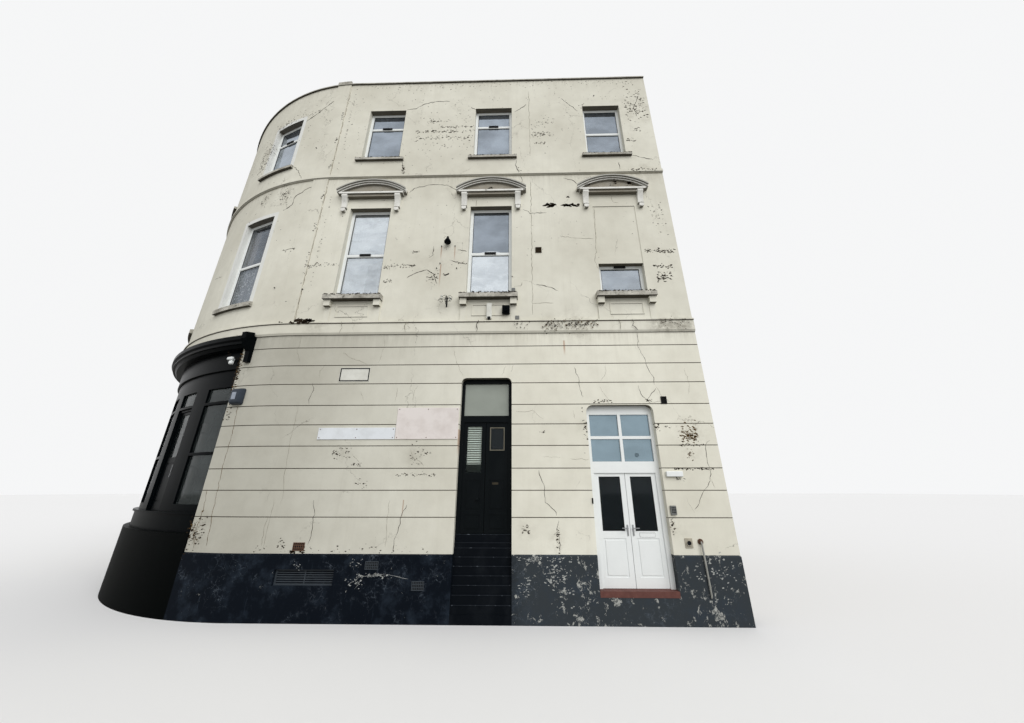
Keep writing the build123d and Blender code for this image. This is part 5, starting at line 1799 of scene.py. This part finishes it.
# Flaking along the top edge of the sills, on the face that stands out this far
sillEdges = [
    (0.47, 1.9, 6.845, 0.01, 60, 0.03, 0.18), (3.86, 5.28, 6.845, 0.01, 60, 0.03, 0.18),
    (7.24, 8.67, 6.845, 0.01, 60, 0.03, 0.18), (0.47, 1.9, 11.605, 0.006, 46, 0.024, 0.08),
    (3.86, 5.28, 11.605, 0.006, 46, 0.024, 0.08), (7.24, 8.67, 11.605, 0.006, 46, 0.024, 0.08),
]

# The blackest scars, where a lump of render has gone
blackFlakes = [
    (6.1, 6.36, 9.72, 0.025, 18, 0.08), (6.58, 7.0, 9.71, 0.02, 26, 0.085),
    (6.7, 6.78, 10.0, 0.03, 3, 0.04), (-0.4, 0.25, 6.19, 0.03, 60, 0.07),
    (3.37, 3.5, 7.5, 0.03, 5, 0.04), (-0.63, -0.6, 10.63, 0.02, 3, 0.06),
    (4.5, 4.6, 10.32, 0.02, 8, 0.04, 0.062), (8.0, 8.07, 10.38, 0.05, 10, 0.045, 0.1635),
    (8.38, 8.52, 10.31, 0.03, 18, 0.05, 0.16), (7.2, 7.32, 10.27, 0.02, 8, 0.04, 0.1635),
    (0.8, 1.9, 10.3, 0.05, 10, 0.02, 0.062), (7.4, 8.4, 10.25, 0.05, 14, 0.02, 0.062),
]

flakeShape = {
    "sides": 9,
    "kinds": 5,
    "thick": 0.0016,
    "lift": 0.001,
    "share": 0.66,
    "ragged": (0.5, 1.15),
    "width": (0.3, 1.2),
    "length": (1.0, 1.9),
    "height": (0.45, 1.0),
    "turn": 0.5,
    "underCoping": 0.03,
    "fromEnd": 0.04,
}


def startFlake(chance):
    # a thin scar with a ragged edge
    deselectAll()
    bpy.ops.mesh.primitive_circle_add(vertices=flakeShape["sides"], radius=1, fill_type="NGON",
                                      rotation=(math.radians(90), 0, 0))
    piece = bpy.context.object
    applyPlace(piece)
    for vertex in piece.data.vertices:
        vertex.co *= chance.uniform(*flakeShape["ragged"])
    pick(piece)
    editAll()
    bpy.ops.mesh.extrude_region_move(TRANSFORM_OT_translate={"value": (0, -1, 0)})
    closeEdit()
    return piece


def overWindow(along, z, reach):
    # true where a flake would hang in front of a window opening
    half = windows["halfGlass"] + windows["frameWidth"] + reach
    corner = [-math.radians(angle) * plan["radius"] for angle in windows["cornerBays"]]
    for index, bay in enumerate(windows["frontBays"] + corner):
        rows = [windows["firstRight" if index == 2 else "first"], windows["second"]]
        if abs(along - bay) < half and any(row[0] < z < row[-1] + reach for row in rows):
            return True
    return False


def addFlakes(name, groups, material):
    chance = random.Random(name)
    kinds = [startFlake(chance) for _ in range(flakeShape["kinds"])]
    twins = []
    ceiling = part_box("coping")[0].z - flakeShape["underCoping"]
    wallEnd = plan["rightX"] - plan["cornerX"] - flakeShape["fromEnd"]
    for start, end, level, spread, count, size, *given in groups:
        for _ in range(count):
            along, z = chance.uniform(start, end), chance.gauss(level, spread)
            along, z = min(along, wallEnd), min(z, ceiling)
            wide = size * chance.uniform(*flakeShape["width"]) * flakeShape["share"]
            out = given[0] if given else reliefAt(along, z)
            shape = Matrix.Diagonal((wide * chance.uniform(*flakeShape["length"]),
                                     flakeShape["thick"] + flakeShape["lift"],
                                     wide * chance.uniform(*flakeShape["height"]), 1.0))
            turn = Matrix.Rotation(chance.uniform(-flakeShape["turn"], flakeShape["turn"]), 4, "Y")
            kind = kinds[chance.randrange(len(kinds))]
            if not given and overWindow(along, z, wide):
                continue
            twin = kind.copy()
            twin.data = twin.data.copy()
            twin.data.transform(wallPlace(along, z, flakeShape["lift"] - out) @ turn @ shape)
            bpy.context.collection.objects.link(twin)
            twins.append(twin)
    for kind in kinds:
        discard(kind)
    finishPiece(joinAll(twins), name, material)


addFlakes("dark_flakes", darkFlakes, scarMaterial)
addFlakes("wall_pits", wallPits, scarMaterial)
addFlakes("brown_flakes", brownFlakes, rustScar)
addFlakes("black_flakes", blackFlakes, crackShadow)
addFlakes("sill_flakes", sillEdges, scarMaterial)
addFlakes("plinth_flakes", paleFlakes, paleScar)
print("flakes scattered")


# Camera, floor and light
view = {
    "along": 5.325,
    "inFront": 7.5,
    "eye": 2.29,
    "tiltUp": 20.43,
    "turnLeft": 1.31,
    "lens": 12.13,
    "sensor": 36.0,
}


def addCamera():
    deselectAll()
    turn = (math.radians(90 + view["tiltUp"]), 0, math.radians(view["turnLeft"]))
    spot = frontPlace(view["along"], view["eye"], -view["inFront"]).translation
    bpy.ops.object.camera_add(location=spot, rotation=turn)
    camera = bpy.context.object
    camera.data.lens = view["lens"]
    camera.data.sensor_width = view["sensor"]
    camera.data.clip_end = 600
    bpy.context.scene.camera = camera


studio = {
    "floorSize": 500,
    "floorTone": (0.78, 0.78, 0.78, 1),   # as the camera sees it
    "floorBounce": (0.3, 0.3, 0.29, 1),   # as it lights the walls, like worn paving
    "backTone": (0.92, 0.925, 0.93, 1),
    "worldStrength": 0.74,
    "sunStrength": 1.9,
    "sunSoftness": 50,
    "sunTurn": (52, 0, 30),
}


def addStudio():
    deselectAll()
    bpy.ops.mesh.primitive_plane_add(size=studio["floorSize"], location=(0, 0, 0))
    floor = bpy.context.object
    floor.name = "studioFloor"
    material, tree, shader = startMaterial("studioFloor", 0.9, 0.1)[:3]
    path = addNode(tree, "ShaderNodeLightPath", {})
    applyPaint(tree, shader, blend(tree, path.outputs["Is Camera Ray"], studio["floorBounce"],
                                   studio["floorTone"]))
    floor.data.materials.append(material)
    bpy.ops.object.light_add(type="SUN", rotation=[math.radians(v) for v in studio["sunTurn"]])
    sun = bpy.context.object
    sun.data.energy = studio["sunStrength"]
    sun.data.angle = math.radians(studio["sunSoftness"])
    sun.visible_glossy = False   # the panes mirror the sky, not the lamp
    world = bpy.data.worlds.new("studioWorld")
    bpy.context.scene.world = world
    world.use_nodes = True
    tree = world.node_tree
    tree.nodes.clear()
    path = addNode(tree, "ShaderNodeLightPath", {})
    seen = fold(tree, "MAXIMUM", [path.outputs["Is %s Ray" % ray]
                                  for ray in ("Camera", "Glossy", "Transmission")])
    light = addNode(tree, "ShaderNodeBackground",
                    {"Color": (1, 1, 1, 1), "Strength": studio["worldStrength"]})
    back = addNode(tree, "ShaderNodeBackground", {"Color": studio["backTone"], "Strength": 1.0})
    mixed = addNode(tree, "ShaderNodeMixShader",
                    {0: seen, 1: light.outputs[0], 2: back.outputs[0]})
    addNode(tree, "ShaderNodeOutputWorld", {"Surface": mixed.outputs[0]})


addCamera()
addStudio()
bpy.context.scene.view_settings.view_transform = "Standard"
print("camera and studio set")
